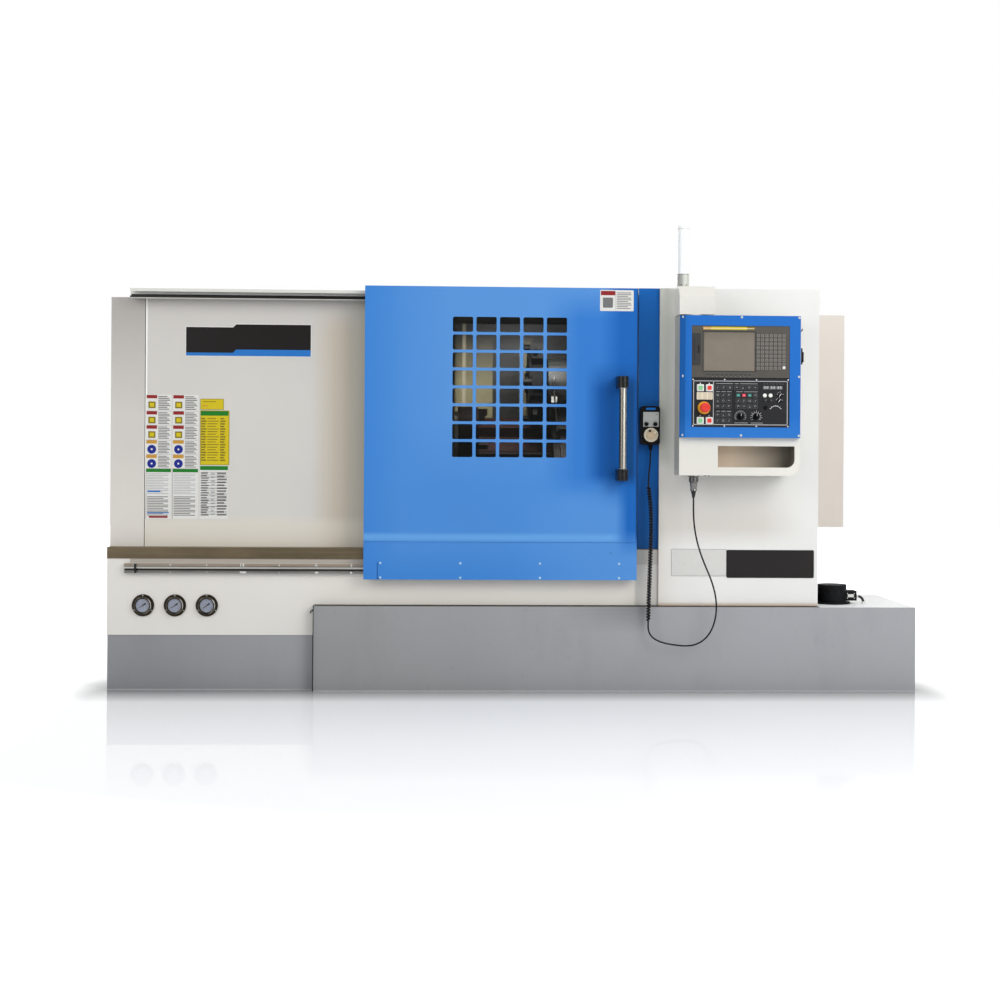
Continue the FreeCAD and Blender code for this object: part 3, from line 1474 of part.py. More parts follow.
def push_button(x, z):
    """Square push button standing in its seat, with bevelled edges."""
    half = button_size / 2
    face = unit_face_y - button_proud
    cap = box(x - half, x + half, face, unit_face_y + knob_stem_r, z - half, z + half)
    return cap.makeChamfer(button_chamfer, front_rim(cap, face))


def emergency_stop():
    """Mushroom head on its stem, standing clear of the panel."""
    head_y = bezel_y - stop_proud
    under_y = head_y + stop_head_depth
    stem = cylinder_y(stop_stem_r, under_y, unit_face_y + knob_stem_r, stop_x, stop_z)
    head = cylinder_y(stop_r, head_y, under_y, stop_x, stop_z)
    return joined(head.makeChamfer(stop_chamfer, front_rim(head, head_y)), stem)


def override_knob(x):
    """Fluted turning knob with a grip across its face."""
    face = unit_face_y - knob_skirt_depth
    skirt = fluted_y(knob_r, knob_flutes, past, face, unit_face_y - seat_gap, x, knob_z)
    grip = box(x - knob_grip_half, x + knob_grip_half, unit_face_y - knob_grip_depth, face + past,
               knob_z - knob_r + 2 * past, knob_z + knob_r - 2 * past)
    stem = prism_y(ring_points(knob_stem_r, 8, x, knob_z), unit_face_y - past,
                   unit_face_y + knob_stem_depth)
    return joined(skirt, grip, stem)


def cord_plug():
    """Metal plug screwed into the pendant's underside: knurled ring, barrel and tapered rubber boot."""
    ring_z = pendant_bottom - plug_ring_length
    ring = faceted_z(plug_ring_r, 2 * plug_sides, ring_z, pendant_bottom, pivot_x, pivot_y)
    barrel = faceted_z(plug_ring_r - plug_barrel_step, plug_sides, plug_barrel_z, ring_z, pivot_x, pivot_y)
    boot = Part.makeCone(cord_r + boot_wall, plug_boot_r, plug_boot_length,
                         Vec(pivot_x, pivot_y, plug_bottom))
    return joined(ring, barrel, boot)


# ---- hand unit

cord_exit = Vec(570, -696, 1012)


def hand_unit_body():
    """Hand held box hung on the post, with seats for its wheel and knobs and a boot for the cord."""
    half = hand_width / 2
    body = rounded_plate(hand_x - half, hand_x + half, hand_bottom, hand_top, hand_corner_r, hand_y,
                         hand_rear_y)
    hook = box(hand_x - hook_half, hand_x + hook_half, hand_y - past, hand_y + hook_depth,
               hand_top - hook_low,
               hand_top - hook_high)
    boot_y = hand_y + (hand_depth - 2) / 2
    boot = Part.makeCone(cord_r + boot_wall, hand_boot_r, hand_boot_length,
                         Vec(hand_x + 3, boot_y, hand_bottom - hand_boot_length))
    body = joined(body.cut(hook), boot)
    body = body.cut(cylinder_y(hand_stem_r + seat_gap, hand_y - past, hand_y + hook_depth, hand_x,
                               hand_wheel_z))
    for x in hand_knob_places:
        body = body.cut(cylinder_y(hand_knob_stem_r + seat_gap, hand_y - past, hand_y + seat_depth, x,
                                   hand_knob_z))
    return body


def hand_wheel():
    """Fluted hand wheel with a raised rim, a hub and a finger knob near its edge."""
    face = hand_y - hand_wheel_depth
    disc = fluted_y(hand_wheel_r, hand_wheel_flutes, past, face, hand_y - seat_gap, hand_x, hand_wheel_z)
    dish_r = hand_wheel_r - hand_wheel_rim
    dish = cylinder_y(dish_r, face - past, face + hand_wheel_dish, hand_x, hand_wheel_z)
    hub = cylinder_y(hand_hub_r, face - 2 * past, face + hand_wheel_dish + past, hand_x, hand_wheel_z)
    finger = cylinder_y(finger_r, hand_y - finger_reach, face + hand_wheel_dish + past, hand_x + finger_x,
                        hand_wheel_z + finger_z)
    stem = prism_y(ring_points(hand_stem_r, 12, hand_x, hand_wheel_z), hand_y - past,
                   hand_y + hook_depth - 2 * past)
    return joined(disc.cut(dish), hub, finger, stem)


def hand_knob(x):
    """Small selector knob with a grip bar."""
    skirt = fluted_y(hand_knob_r, knob_flutes, past / 2, hand_y - hand_knob_depth, hand_y - seat_gap, x,
                     hand_knob_z)
    grip = box(x - hand_knob_grip_half, x + hand_knob_grip_half, hand_y - hand_knob_grip,
               hand_y - hand_knob_depth + past,
               hand_knob_z - hand_knob_r + past, hand_knob_z + hand_knob_r - past)
    stem = prism_y(ring_points(hand_knob_stem_r, 8, x, hand_knob_z), hand_y - past,
                   hand_y + seat_depth - past)
    return joined(skirt, grip, stem)


# ---- cord: points chosen by hand from the hand unit down, round the loop and up to the plug

upper_route = [cord_exit, Vec(570, -696, 978), Vec(567, -699, 941), Vec(562, -703.5, 905),
               Vec(560, -712, 868)]
curl_route = [Vec(560, -712, 868), Vec(569.5, -716, 785), Vec(572.5, -721, 702), Vec(570, -728, 619),
              Vec(566, -735.5, 536), Vec(562.5, -742.5, 453), Vec(559, -749, 370), Vec(557, -752, 290)]
lower_route = [Vec(557, -752, 290), Vec(557, -754, 262), Vec(567, -757, 237), Vec(590, -761, 219),
               Vec(624, -765, 207), Vec(668, -769, 200), Vec(714, -773, 196), Vec(757, -777, 203),
               Vec(795, -781, 228), Vec(821, -785, 268), Vec(835, -788, 317), Vec(838, -790, 369),
               Vec(830, -792, 423), Vec(813, -793, 477), Vec(789, -794, 531), Vec(767, -795, 586),
               Vec(750, -795, 645), Vec(740, -795, 705), Vec(737, -795, 762), Vec(737, -795, 815)]


def cord_section(start, way, sides):
    """Regular outline square to a cord, with the same area as its round section."""
    area = math.pi * cord_r ** 2
    reach = math.sqrt(2 * area / (sides * math.sin(2 * math.pi / sides)))
    side = (Vec(1, 0, 0) - way * way.x).normalize()
    other = way.cross(side)
    corners = []
    for index in range(sides):
        angle = 2 * math.pi * index / sides
        corners.append(start + side * (reach * math.cos(angle)) + other * (reach * math.sin(angle)))
    return Part.makePolygon(corners + corners[:1])


def route_wire(points):
    """Straight runs joined by arcs whose radius is 0.45 of the shorter run over the half turn's tangent."""
    edges = []
    radii = []
    last = points[0]
    for before, corner, after in zip(points, points[1:], points[2:]):
        into = (corner - before).normalize()
        out = (after - corner).normalize()
        half_turn = into.getAngle(out) / 2
        setback = 0.45 * min((corner - before).Length, (after - corner).Length)
        radii.append(setback / math.tan(half_turn))
        start = corner - into * setback
        end = corner + out * setback
        inward = (out - into).normalize()
        middle = corner + inward * (radii[-1] * (1 / math.cos(half_turn) - 1))
        edges.append(Part.LineSegment(last, start).toShape())
        edges.append(Part.Arc(start, middle, end).toShape())
        last = end
    edges.append(Part.LineSegment(last, points[-1]).toShape())
    return Part.Wire(edges), radii


def tube(points, name):
    """Cord along its route, with its volume compared to its section times its length."""
    wire, radii = route_wire(points)
    section = cord_section(points[0], (points[1] - points[0]).normalize(), cord_sides)
    solid = wire.makePipeShell([section], True, False)
    ratio = solid.Volume / (math.pi * cord_r ** 2 * wire.Length)
    print(name, "length", round(wire.Length, 1), "radii", [round(radius) for radius in radii])
    print(name, "volume over section times length", round(ratio, 4))
    return solid


def curl_line(parameter):
    """Point and heading on the curl's centre line: the route's points blended by a smooth cubic."""
    spans = len(curl_route) - 1
    place = min(parameter * spans, spans - 1e-9)
    index = int(place)
    u = place - index
    p1, p2 = curl_route[index], curl_route[index + 1]
    p0 = curl_route[index - 1] if index else p1 * 2 - p2
    p3 = curl_route[index + 2] if index + 2 <= spans else p2 * 2 - p1
    point = (p1 * 2 + (p2 - p0) * u + (p0 * 2 - p1 * 5 + p2 * 4 - p3) * u ** 2
             + (p1 * 3 - p0 - p2 * 3 + p3) * u ** 3) * 0.5
    heading = ((p2 - p0) + (p0 * 2 - p1 * 5 + p2 * 4 - p3) * (2 * u)
               + (p1 * 3 - p0 - p2 * 3 + p3) * (3 * u ** 2)) * 0.5
    return point, heading


def curl_point(parameter):
    """Point of the helix: the centre line plus a radius that grows from its ends and turns steadily."""
    centre, heading = curl_line(parameter)
    heading = heading.normalize()
    side = Vec(1, 0, 0) - heading * heading.x
    side = side.normalize()
    other = heading.cross(side)
    swell = min(parameter, 1 - parameter) * curl_turns / 0.75
    radius = curl_mean_r * min(1.0, swell) if swell > 0 else 0.0
    angle = 2 * math.pi * curl_turns * parameter
    return centre + side * (radius * math.cos(angle)) + other * (radius * math.sin(angle))


def arc_edge(start, apex, end):
    """Arc from start to end whose end tangents meet at the apex, at equal distances."""
    chord = end - start
    middle = (start + end) * 0.5
    rise = (apex - middle).Length
    if rise < 1e-4:
        return Part.LineSegment(start, end).toShape()
    lean = math.atan2(rise, chord.Length / 2)
    top = middle + (apex - middle) * (math.tan(lean / 2) / math.tan(lean))
    return Part.Arc(start, top, end).toShape()


def biarc(start, start_way, end, end_way):
    """Two arcs that leave start along its way and reach end along its way."""
    span = end - start
    total = start_way + end_way
    bend = 2 * (1 - start_way.dot(end_way))
    along = span.dot(total)
    if bend < 1e-9:
        reach = span.dot(span) / (2 * along)
    else:
        reach = (math.sqrt(along ** 2 + bend * span.dot(span)) - along) / bend
    first = start + start_way * reach
    second = end - end_way * reach
    joint = (first + second) * 0.5
    return [arc_edge(start, first, joint), arc_edge(joint, second, end)]


def curly_cord():
    """One unbroken square-sided tube wound into curls, with a straight end of one diameter each way."""
    stretches = curl_turns * 2
    step = 1e-5
    top_way = (upper_route[-1] - upper_route[-2]).normalize()
    low_way = (lower_route[1] - lower_route[0]).normalize()
    straight = 2 * cord_r / sum((b - a).Length for a, b in zip(curl_route, curl_route[1:]))
    points = []
    ways = []
    for index in range(stretches + 1):
        parameter = straight + (1 - 2 * straight) * index / stretches
        before = curl_point(parameter - step)
        after = curl_point(parameter + step)
        points.append(curl_point(parameter))
        ways.append((after - before).normalize())
    first = curl_route[0] + top_way * (2 * cord_r)
    last = curl_route[-1] - low_way * (2 * cord_r)
    points = [first] + points[1:-1] + [last]
    ways = [top_way] + ways[1:-1] + [low_way]
    edges = [Part.LineSegment(curl_route[0], points[0]).toShape()]
    for index in range(stretches):
        edges += biarc(points[index], ways[index], points[index + 1], ways[index + 1])
    edges.append(Part.LineSegment(points[-1], curl_route[-1]).toShape())
    wire = Part.Wire(edges)
    section = cord_section(curl_route[0], top_way, curl_sides)
    solid = wire.makePipeShell([section], True, False)
    print("curly cord wire length", round(wire.Length, 1), "volume ratio",
          round(solid.Volume / (math.pi * cord_r ** 2 * wire.Length), 4))
    print("curly cord least gap", round(least_curl_gap(), 2))
    return solid


def least_curl_gap():
    """Smallest distance between points of the helix more than half a turn apart, less the wire."""
    per_turn = 24
    points = [curl_point(index / (per_turn * curl_turns)) for index in range(per_turn * curl_turns + 1)]
    least = 1e9
    for index, point in enumerate(points):
        for other in points[index + per_turn // 2 + 2:index + 2 * per_turn]:
            least = min(least, (point - other).Length)
    return least - 2 * cord_r


os.makedirs("parts", exist_ok=True)
save("base_casting", base_casting())
save("bed_casting", bed_casting())
save("headstock_casting", headstock_casting())
save("spindle", spindle())
save("chuck_body", chuck_body())
for number in range(3):
    save("chuck_jaw_" + str(number + 1), chuck_jaw(number))
save("main_motor", main_motor())
save("motor_pulley", motor_pulley())
save("drive_belt", drive_belt())
save("saddle", saddle())
save("z_ball_screw", z_screw())
save("cross_slide", cross_slide())
save("turret_disc", turret_disc())
save("tailstock", tailstock())
save("quill", quill())
save("lower_front_cover", lower_front_cover())
save("sill_cap", sill_cap())
save("door_rails", top_rail(), bottom_rail())
save("roof_panel", roof_panel())
save("left_front_panel", left_front_panel())
save("left_end_cover", left_end_cover())
save("right_end_cover", right_end_cover())
save("rear_cover", rear_cover())
save("fixed_post", fixed_post())
save("right_front_cabinet", right_front_cabinet())
save("headstock_guard", headstock_guard())
save("chip_pan", chip_pan())
save("door_panel", door_panel())
save("door_roller_left", door_roller(roller_places[0]))
save("door_roller_right", door_roller(roller_places[1]))
save("door_skirt", door_skirt())
save("door_window", door_window())
save("door_handle", handle_tube(), *handle_brackets())
save("coolant_tank", coolant_tank())
save("coolant_pump", coolant_pump())
save("pressure_gauges", *pressure_gauges())
save("signal_lamp", signal_lamp())
save("electrical_cabinet", electrical_cabinet())
save("cabinet_door", cabinet_door())
save("pendant_arm", pendant_arm())
save("pendant_housing", pendant_housing())
save("pendant_bezel", pendant_bezel())
save("display_unit", display_unit())
save("operator_panel", operator_panel())
for number, (button_x, button_z) in enumerate(button_places):
    save("push_button_" + str(number + 1), push_button(button_x, button_z))
save("emergency_stop", emergency_stop())
for number, place in enumerate(knob_places):
    save("override_knob_" + str(number + 1), override_knob(place))
save("cord_plug", cord_plug())
save("hand_unit_body", hand_unit_body())
save("hand_wheel", hand_wheel())
for number, place in enumerate(hand_knob_places):
    save("hand_knob_" + str(number + 1), hand_knob(place))
save("hand_cord", tube(upper_route, "upper cord"), tube(lower_route, "lower cord"))
save("curly_cord", curly_cord())
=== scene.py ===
import json
import math
import bmesh
import bpy
import numpy as np
from mathutils import Matrix, Vector
from mathutils.bvhtree import BVHTree


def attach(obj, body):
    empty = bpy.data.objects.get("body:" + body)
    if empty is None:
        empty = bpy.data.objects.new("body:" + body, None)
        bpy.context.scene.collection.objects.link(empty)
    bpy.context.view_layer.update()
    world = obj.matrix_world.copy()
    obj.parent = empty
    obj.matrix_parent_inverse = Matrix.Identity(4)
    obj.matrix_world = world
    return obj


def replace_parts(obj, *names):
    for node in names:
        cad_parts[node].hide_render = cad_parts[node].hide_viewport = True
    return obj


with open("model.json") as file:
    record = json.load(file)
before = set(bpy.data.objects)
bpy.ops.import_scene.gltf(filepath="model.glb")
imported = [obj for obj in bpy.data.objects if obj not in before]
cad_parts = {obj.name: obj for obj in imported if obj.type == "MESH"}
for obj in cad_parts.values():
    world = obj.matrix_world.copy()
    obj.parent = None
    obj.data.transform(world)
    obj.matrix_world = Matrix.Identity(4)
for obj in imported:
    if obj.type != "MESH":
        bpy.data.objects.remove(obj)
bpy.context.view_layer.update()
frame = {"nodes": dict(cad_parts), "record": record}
nodes = frame["nodes"]
mm = 0.001                     # shapes are worked out in millimetres, and addPiece turns them into metres
print("frame loaded:", len(nodes), "nodes")


# Shapes: each one is a pair, an array of points and a list of faces, and it faces the operator (-Y).

def ringFaces(rings, sides, closeRings=False):
    # quads between neighbouring rings of a grid of points, wrapped round each ring
    row = np.arange(rings if closeRings else rings - 1)[:, None]
    column = np.arange(sides)[None, :]
    nextRow = (row + 1) % rings
    nextColumn = (column + 1) % sides
    quads = np.stack([row * sides + column, row * sides + nextColumn,
                      nextRow * sides + nextColumn, nextRow * sides + column], axis=-1)
    return quads.reshape(-1, 4).tolist()


def loft(rings):
    # a skin over an array of rings (ring, point on the ring, xyz), its two ends closed by fans
    rings = np.array(rings, float)
    count, sides, _ = rings.shape
    points = np.concatenate([rings.reshape(-1, 3), rings[:1].mean(1), rings[-1:].mean(1)])
    side = np.arange(sides)
    follower = (side + 1) % sides
    first, last = np.full(sides, count * sides), np.full(sides, count * sides + 1)
    near = np.stack([first, follower, side], axis=1)
    far = np.stack([last, (count - 1) * sides + side, (count - 1) * sides + follower], axis=1)
    return points, ringFaces(count, sides) + near.tolist() + far.tolist()


def merged(shapes):
    # many shapes as one: the points follow each other and the faces count on
    points, faces, offset = [], [], 0
    for shapePoints, shapeFaces in shapes:
        points.append(shapePoints)
        faces += [[index + offset for index in face] for face in shapeFaces]
        offset += len(shapePoints)
    return np.concatenate(points), faces


def facing(shape, quarters):
    # the shape turned about Z by quarter turns: 1 faces +X, 2 faces +Y (the rear), 3 faces -X
    points, faces = shape
    cosine, sine = [(1, 0), (0, 1), (-1, 0), (0, -1)][quarters % 4]
    x, y, z = points.T
    return np.stack([cosine * x - sine * y, sine * x + cosine * y, z], axis=1), faces


def turned(profile, origin, axis=(0, -1, 0), sides=24):
    # a profile of (radius, height) turned about an axis: origin + axis * height + radius * (cos, sin) across
    axis = np.array(axis, float)
    across = np.array([1.0, 0, 0]) if abs(axis[0]) < 0.5 else np.array([0, 1.0, 0])
    other = np.cross(axis, across)
    angle = np.linspace(0, 2 * np.pi, sides, endpoint=False)
    circle = np.cos(angle)[:, None] * across + np.sin(angle)[:, None] * other
    profile = np.array(profile, float)
    return loft(np.array(origin, float) + profile[:, 1][:, None, None] * axis
                + profile[:, 0][:, None, None] * circle[None])


def slab(outline, face, thickness, edge=0.0):
    # an outline of (x, z) points carried from back to front; an edge draws the front in towards the middle
    outline = np.array(outline, float)
    middle = outline.mean(0)
    reach = np.linalg.norm(outline - middle, axis=1)[:, None]
    front = outline + (middle - outline) / reach * edge
    layers = [(outline, face + thickness), (outline, face + edge), (front, face)]
    return loft([np.stack([flat[:, 0], np.full(len(flat), y), flat[:, 1]], axis=1) for flat, y in layers])


def chip(x0, x1, z0, z1, face, thickness=0.3):
    # a thin printed field or bar between two places along X and two along Z
    return slab([(x0, z0), (x1, z0), (x1, z1), (x0, z1)], face, thickness)


def roundedOutline(x0, x1, z0, z1, radius, steps=5):
    # corners as quarter circles: centre of the corner + radius * (cos, sin), four times
    angle = np.linspace(0, np.pi / 2, steps)
    outline = []
    for turn, (x, z) in enumerate([(x1 - radius, z1 - radius), (x0 + radius, z1 - radius),
                                   (x0 + radius, z0 + radius), (x1 - radius, z0 + radius)]):
        swing = angle + turn * np.pi / 2
        outline.append(np.stack([x + radius * np.cos(swing), z + radius * np.sin(swing)], axis=1))
    return np.concatenate(outline)


def plate(x0, x1, z0, z1, face, thickness, radius=2.0, edge=0.4):
    # a flat plate with round corners and a fine chamfer
    return slab(roundedOutline(x0, x1, z0, z1, radius), face, thickness, edge)


def frameStrip(x0, x1, z0, z1, face, thickness, width, radius):
    # a thin raised border: four outlines, outer back, outer front, inner front, inner back, joined round
    rings = []
    for inset, y in [(0, face + thickness), (0, face), (width, face), (width, face + thickness)]:
        flat = roundedOutline(x0 + inset, x1 - inset, z0 + inset, z1 - inset, max(radius - inset, 0.1))
        rings.append(np.stack([flat[:, 0], np.full(len(flat), y), flat[:, 1]], axis=1))
    return np.concatenate(rings), ringFaces(4, len(rings[0]), True)


def arcStrip(centre, radius, width, start, end, face, thickness=0.3, steps=20):
    # a flat arc: inner and outer radius swung clockwise from straight up, from start to end in degrees
    angle = np.radians(np.linspace(start, end, steps))
    way = np.stack([np.sin(angle), np.cos(angle)], axis=1)
    inner, outer, back = radius - width / 2, radius + width / 2, face + thickness
    rings = []
    for reach, y in [(inner, back), (inner, face), (outer, face), (outer, back)]:
        x, z = centre[0] + way[:, 0] * reach, centre[1] + way[:, 1] * reach
        rings.append(np.stack([x, np.full(steps, y), z], axis=1))
    return loft(np.array(rings).transpose(1, 0, 2))


def tick(centre, angle, near, far, width, face, thickness=0.3, farWidth=None):
    # a short bar along a radius of a dial, turned clockwise from straight up by an angle in degrees
    turn = math.radians(angle)
    along = np.array([math.sin(turn), math.cos(turn)])
    across = np.array([math.cos(turn), -math.sin(turn)])
    half = np.array([width, farWidth or width]) / 2
    start, stop = np.array(centre) + along * near, np.array(centre) + along * far
    return slab([start - across * half[0], start + across * half[0],
                 stop + across * half[1], stop - across * half[1]], face, thickness)


def disc(centre, radius, face, thickness=0.3, sides=28):
    # a flat round field
    return turned([(radius, 0), (radius, thickness)], (centre[0], face + thickness, centre[1]), sides=sides)


def tube(path, radius, sides=12):
    # a circle carried along a path of points: its frame turns with the path's direction
    path = np.array(path, float)
    ways = np.gradient(path, axis=0)
    ways /= np.linalg.norm(ways, axis=1)[:, None]
    side = np.cross(ways[0], [0.3, 0.5, 0.8])
    angle = np.linspace(0, 2 * np.pi, sides, endpoint=False)
    rings = []
    for point, way in zip(path, ways):
        side = side - way * (side @ way)
        side /= np.linalg.norm(side)
        other = np.cross(way, side)
        rings.append(point + radius * (np.cos(angle)[:, None] * side + np.sin(angle)[:, None] * other))
    return loft(rings)


def bend(start, corner, stop, steps=9):
    # a curved path: (1 - t) squared of the start, 2 t (1 - t) of the corner, t squared of the stop
    t = np.linspace(0, 1, steps)[:, None]
    return (1 - t) ** 2 * np.array(start) + 2 * t * (1 - t) * np.array(corner) + t ** 2 * np.array(stop)


def around(centre, radius, angle):
    # a place on a circle, clockwise from straight up in degrees: centre + radius * (sin, cos)
    turn = math.radians(angle)
    return centre[0] + radius * math.sin(turn), centre[1] + radius * math.cos(turn)


def screwHead(x, y, z, radius, height=None, sides=14):
    # a domed head with a round drive recess: the profile climbs the dome and falls into the recess
    height = height or radius * 0.55
    profile = [(radius, 0), (radius, height * 0.35), (radius * 0.86, height * 0.8), (radius * 0.6, height),
               (radius * 0.42, height), (radius * 0.38, height * 0.35)]
    return turned(profile, (x, y, z), sides=sides)


fontScale = 1.38               # the font's size for one unit of a figure's height


def numeral(text, x, z, height, face, thickness=0.25):
    # a plain figure: the font's flat outline made a mesh, then x across, z up and the depth towards the back
    curve = bpy.data.curves.new("figure", "FONT")
    curve.body = text
    curve.size = height * fontScale
    curve.align_x = "CENTER"
    curve.align_y = "CENTER"
    curve.resolution_u = 2
    curve.extrude = thickness / 2
    holder = bpy.data.objects.new("figure", curve)
    mesh = bpy.data.meshes.new_from_object(holder)
    built = bmesh.new()
    built.from_mesh(mesh)
    bmesh.ops.remove_doubles(built, verts=built.verts, dist=height * 0.002)
    points = np.array([vertex.co for vertex in built.verts])
    faces = [[vertex.index for vertex in face.verts] for face in built.faces]
    built.free()
    bpy.data.objects.remove(holder)
    bpy.data.meshes.remove(mesh)
    return np.stack([points[:, 0] + x, face + thickness / 2 - points[:, 2], points[:, 1] + z], axis=1), faces


surfaces = {}                  # a search tree for each CAD node that has been asked about
outside = 2000                 # a start that is well clear of the machine, in millimetres


def touch(node, start, way=(0, 1, 0)):
    # the place, in millimetres, where a straight line from a start first meets a CAD node
    if node not in surfaces:
        mesh = nodes[node].data
        surfaces[node] = BVHTree.FromPolygons([vertex.co for vertex in mesh.vertices],
                                              [polygon.vertices for polygon in mesh.polygons])
    place = surfaces[node].ray_cast(Vector(start) * mm, Vector(way))[0]
    if place is None:
        raise ValueError("nothing of " + node + " lies on that line")
    return np.array(place) / mm


def frontOf(node, x, z):
    # how far back the front of a CAD node lies at a place of the machine's face
    return touch(node, (x, -outside, z))[1]


def inked(finish, *shapes):
    # shapes that share a finish, paired with it as addPiece wants them
    return [(shape, finish) for shape in shapes]


def screwsOn(node, places, radius, finish, lift=0.0):
    # a screw head on the front of a node at each place (x, z)
    return inked(finish, *[screwHead(x, frontOf(node, x, z) + lift, z, radius) for x, z in places])


def addPiece(name, parts, body, angle=32):
    # parts are pairs (shape, finish): they become one mesh with a material slot for each finish
    points, faces = merged([shape for shape, _ in parts])
    used = list(dict.fromkeys(finish for _, finish in parts))
    mesh = bpy.data.meshes.new(name)
    mesh.from_pydata((points * mm).tolist(), [], faces)
    for finish in used:
        mesh.materials.append(finish)
    index = np.concatenate([np.full(len(shape[1]), used.index(finish)) for shape, finish in parts])
    mesh.polygons.foreach_set("material_index", index)
    mesh.polygons.foreach_set("use_smooth", [True] * len(faces))
    built = bmesh.new()
    built.from_mesh(mesh)
    bmesh.ops.recalc_face_normals(built, faces=built.faces)
    built.to_mesh(mesh)
    built.free()
    mesh.update()
    mesh.set_sharp_from_angle(angle=math.radians(angle))
    piece = bpy.data.objects.new(name, mesh)
    bpy.context.scene.collection.objects.link(piece)
    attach(piece, body)
    return piece


# Materials: Varying wraps a value that changes over a surface, Finish builds the nodes.

class Varying:
    # arithmetic on it adds Math nodes
    def __init__(self, finish, socket):
        self.finish = finish
        self.socket = socket

    def maths(self, operation, first, second):
        node = self.finish.node("ShaderNodeMath", {"operation": operation}, {0: first, 1: second})
        return Varying(self.finish, node.outputs[0])

    def __add__(self, other):
        return self.maths("ADD", self, other)

    def __sub__(self, other):
        return self.maths("SUBTRACT", self, other)

    def __rsub__(self, other):
        return self.maths("SUBTRACT", other, self)

    def __mul__(self, other):
        return self.maths("MULTIPLY", self, other)

    def __pow__(self, other):
        return self.maths("POWER", self, other)

    __radd__ = __add__
    __rmul__ = __mul__


class Finish:
    # a material under construction, with one Principled shader at its end, or another tree that is given
    def __init__(self, name, tree=None, output="Object", **constants):
        if tree is None:
            self.material = bpy.data.materials.new(name)
            self.material.use_nodes = True
            tree = self.material.node_tree
            self.shader = tree.nodes["Principled BSDF"]
        self.tree = tree
        self.output = output
        self.coordinates = None
        self.split = None
        for socket, value in constants.items():
            self.set(socket, value)

    def node(self, kind, settings=None, sockets=None):
        made = self.tree.nodes.new(kind)
        for setting, value in (settings or {}).items():
            setattr(made, setting, value)
        for socket, value in (sockets or {}).items():
            self.plug(made.inputs[socket], value)
        return made

    def plug(self, socket, value):
        if isinstance(value, Varying):
            self.tree.links.new(value.socket, socket)
        elif isinstance(value, bpy.types.NodeSocket):
            self.tree.links.new(value, socket)
        else:
            socket.default_value = value

    def set(self, socket, value):
        self.plug(self.shader.inputs[socket.replace("_", " ")], value)

    def place(self, scale=(1, 1, 1)):
        # Object coordinates in metres, stretched by a scale
        if self.coordinates is None:
            self.coordinates = self.node("ShaderNodeTexCoord").outputs[self.output]
        return self.node("ShaderNodeMapping", {}, {"Vector": self.coordinates, "Scale": scale}).outputs[0]

    def axis(self, letter):
        if self.split is None:
            self.split = self.node("ShaderNodeSeparateXYZ", {}, {0: self.place()})
        return Varying(self, self.split.outputs["xyz".index(letter)])

    def noise(self, scale, stretch=(1, 1, 1), detail=3.0, rough=0.5):
        made = self.node("ShaderNodeTexNoise", {}, {"Vector": self.place(stretch), "Scale": scale,
                                                    "Detail": detail, "Roughness": rough})
        return Varying(self, made.outputs["Fac"])

    def spread(self, value, low, high, toLow=0.0, toHigh=1.0):
        made = self.node("ShaderNodeMapRange", {"clamp": True},
                         {0: value, 1: low, 2: high, 3: toLow, 4: toHigh})
        return Varying(self, made.outputs[0])

    def region(self, ramps):
        # a mask: the product of ramps (axis, where it is 0, where it is 1) in metres
        mask = None
        for letter, low, high in ramps:
            ramp = self.spread(self.axis(letter), low, high)
            mask = ramp if mask is None else mask * ramp
        return mask

    def blend(self, factor, first, second):
        made = self.node("ShaderNodeMix", {"data_type": "RGBA"}, {0: factor, 6: first, 7: second})
        return made.outputs[2]

    def tinted(self, base, tints):
        # one tone after another over the base: (strength, ramps, tone)
        for strength, ramps, tone in tints:
            base = self.blend(self.region(ramps) * strength, base, tone)
        return base

    def bump(self, height, strength, distance):
        sockets = {"Height": height, "Strength": strength, "Distance": distance}
        self.set("Normal", self.node("ShaderNodeBump", {}, sockets).outputs[0])


def colour(red, green, blue):
    # a colour as seen on a screen, 0 to 255, made linear: ((c + 0.055) / 1.055) to the power 2.4
    return tuple(((channel / 255 + 0.055) / 1.055) ** 2.4 for channel in (red, green, blue)) + (1.0,)


lampGain = 0.925               # what a paint's tone is scaled by, so that the lamps here show it as written


def seenAs(red, green, blue):
    # the paint tone that the lamps here show as the given colour
    return scaled(colour(red, green, blue), lampGain)


def inside(letter, low, high, soft=0.001):
    # two ramps that leave only what lies between two places along an axis, in metres
    return [(letter, low - soft, low), (letter, high + soft, high)]


def scaled(tone, factor):
    return tuple(min(channel * factor, 1.0) for channel in tone[:3]) + (1.0,)


paintValues = {"peelScale": 260.0, "peelStrength": 0.05, "peelDepth": 0.0004, "cloudScale": 1.6,
               "cloud": 0.02, "roughness": 0.38, "roughnessSpread": 0.10, "coat": 0.06, "shine": 0.3,
               "dirt": 0.0, "dirtTone": (0.05, 0.05, 0.05, 1)}


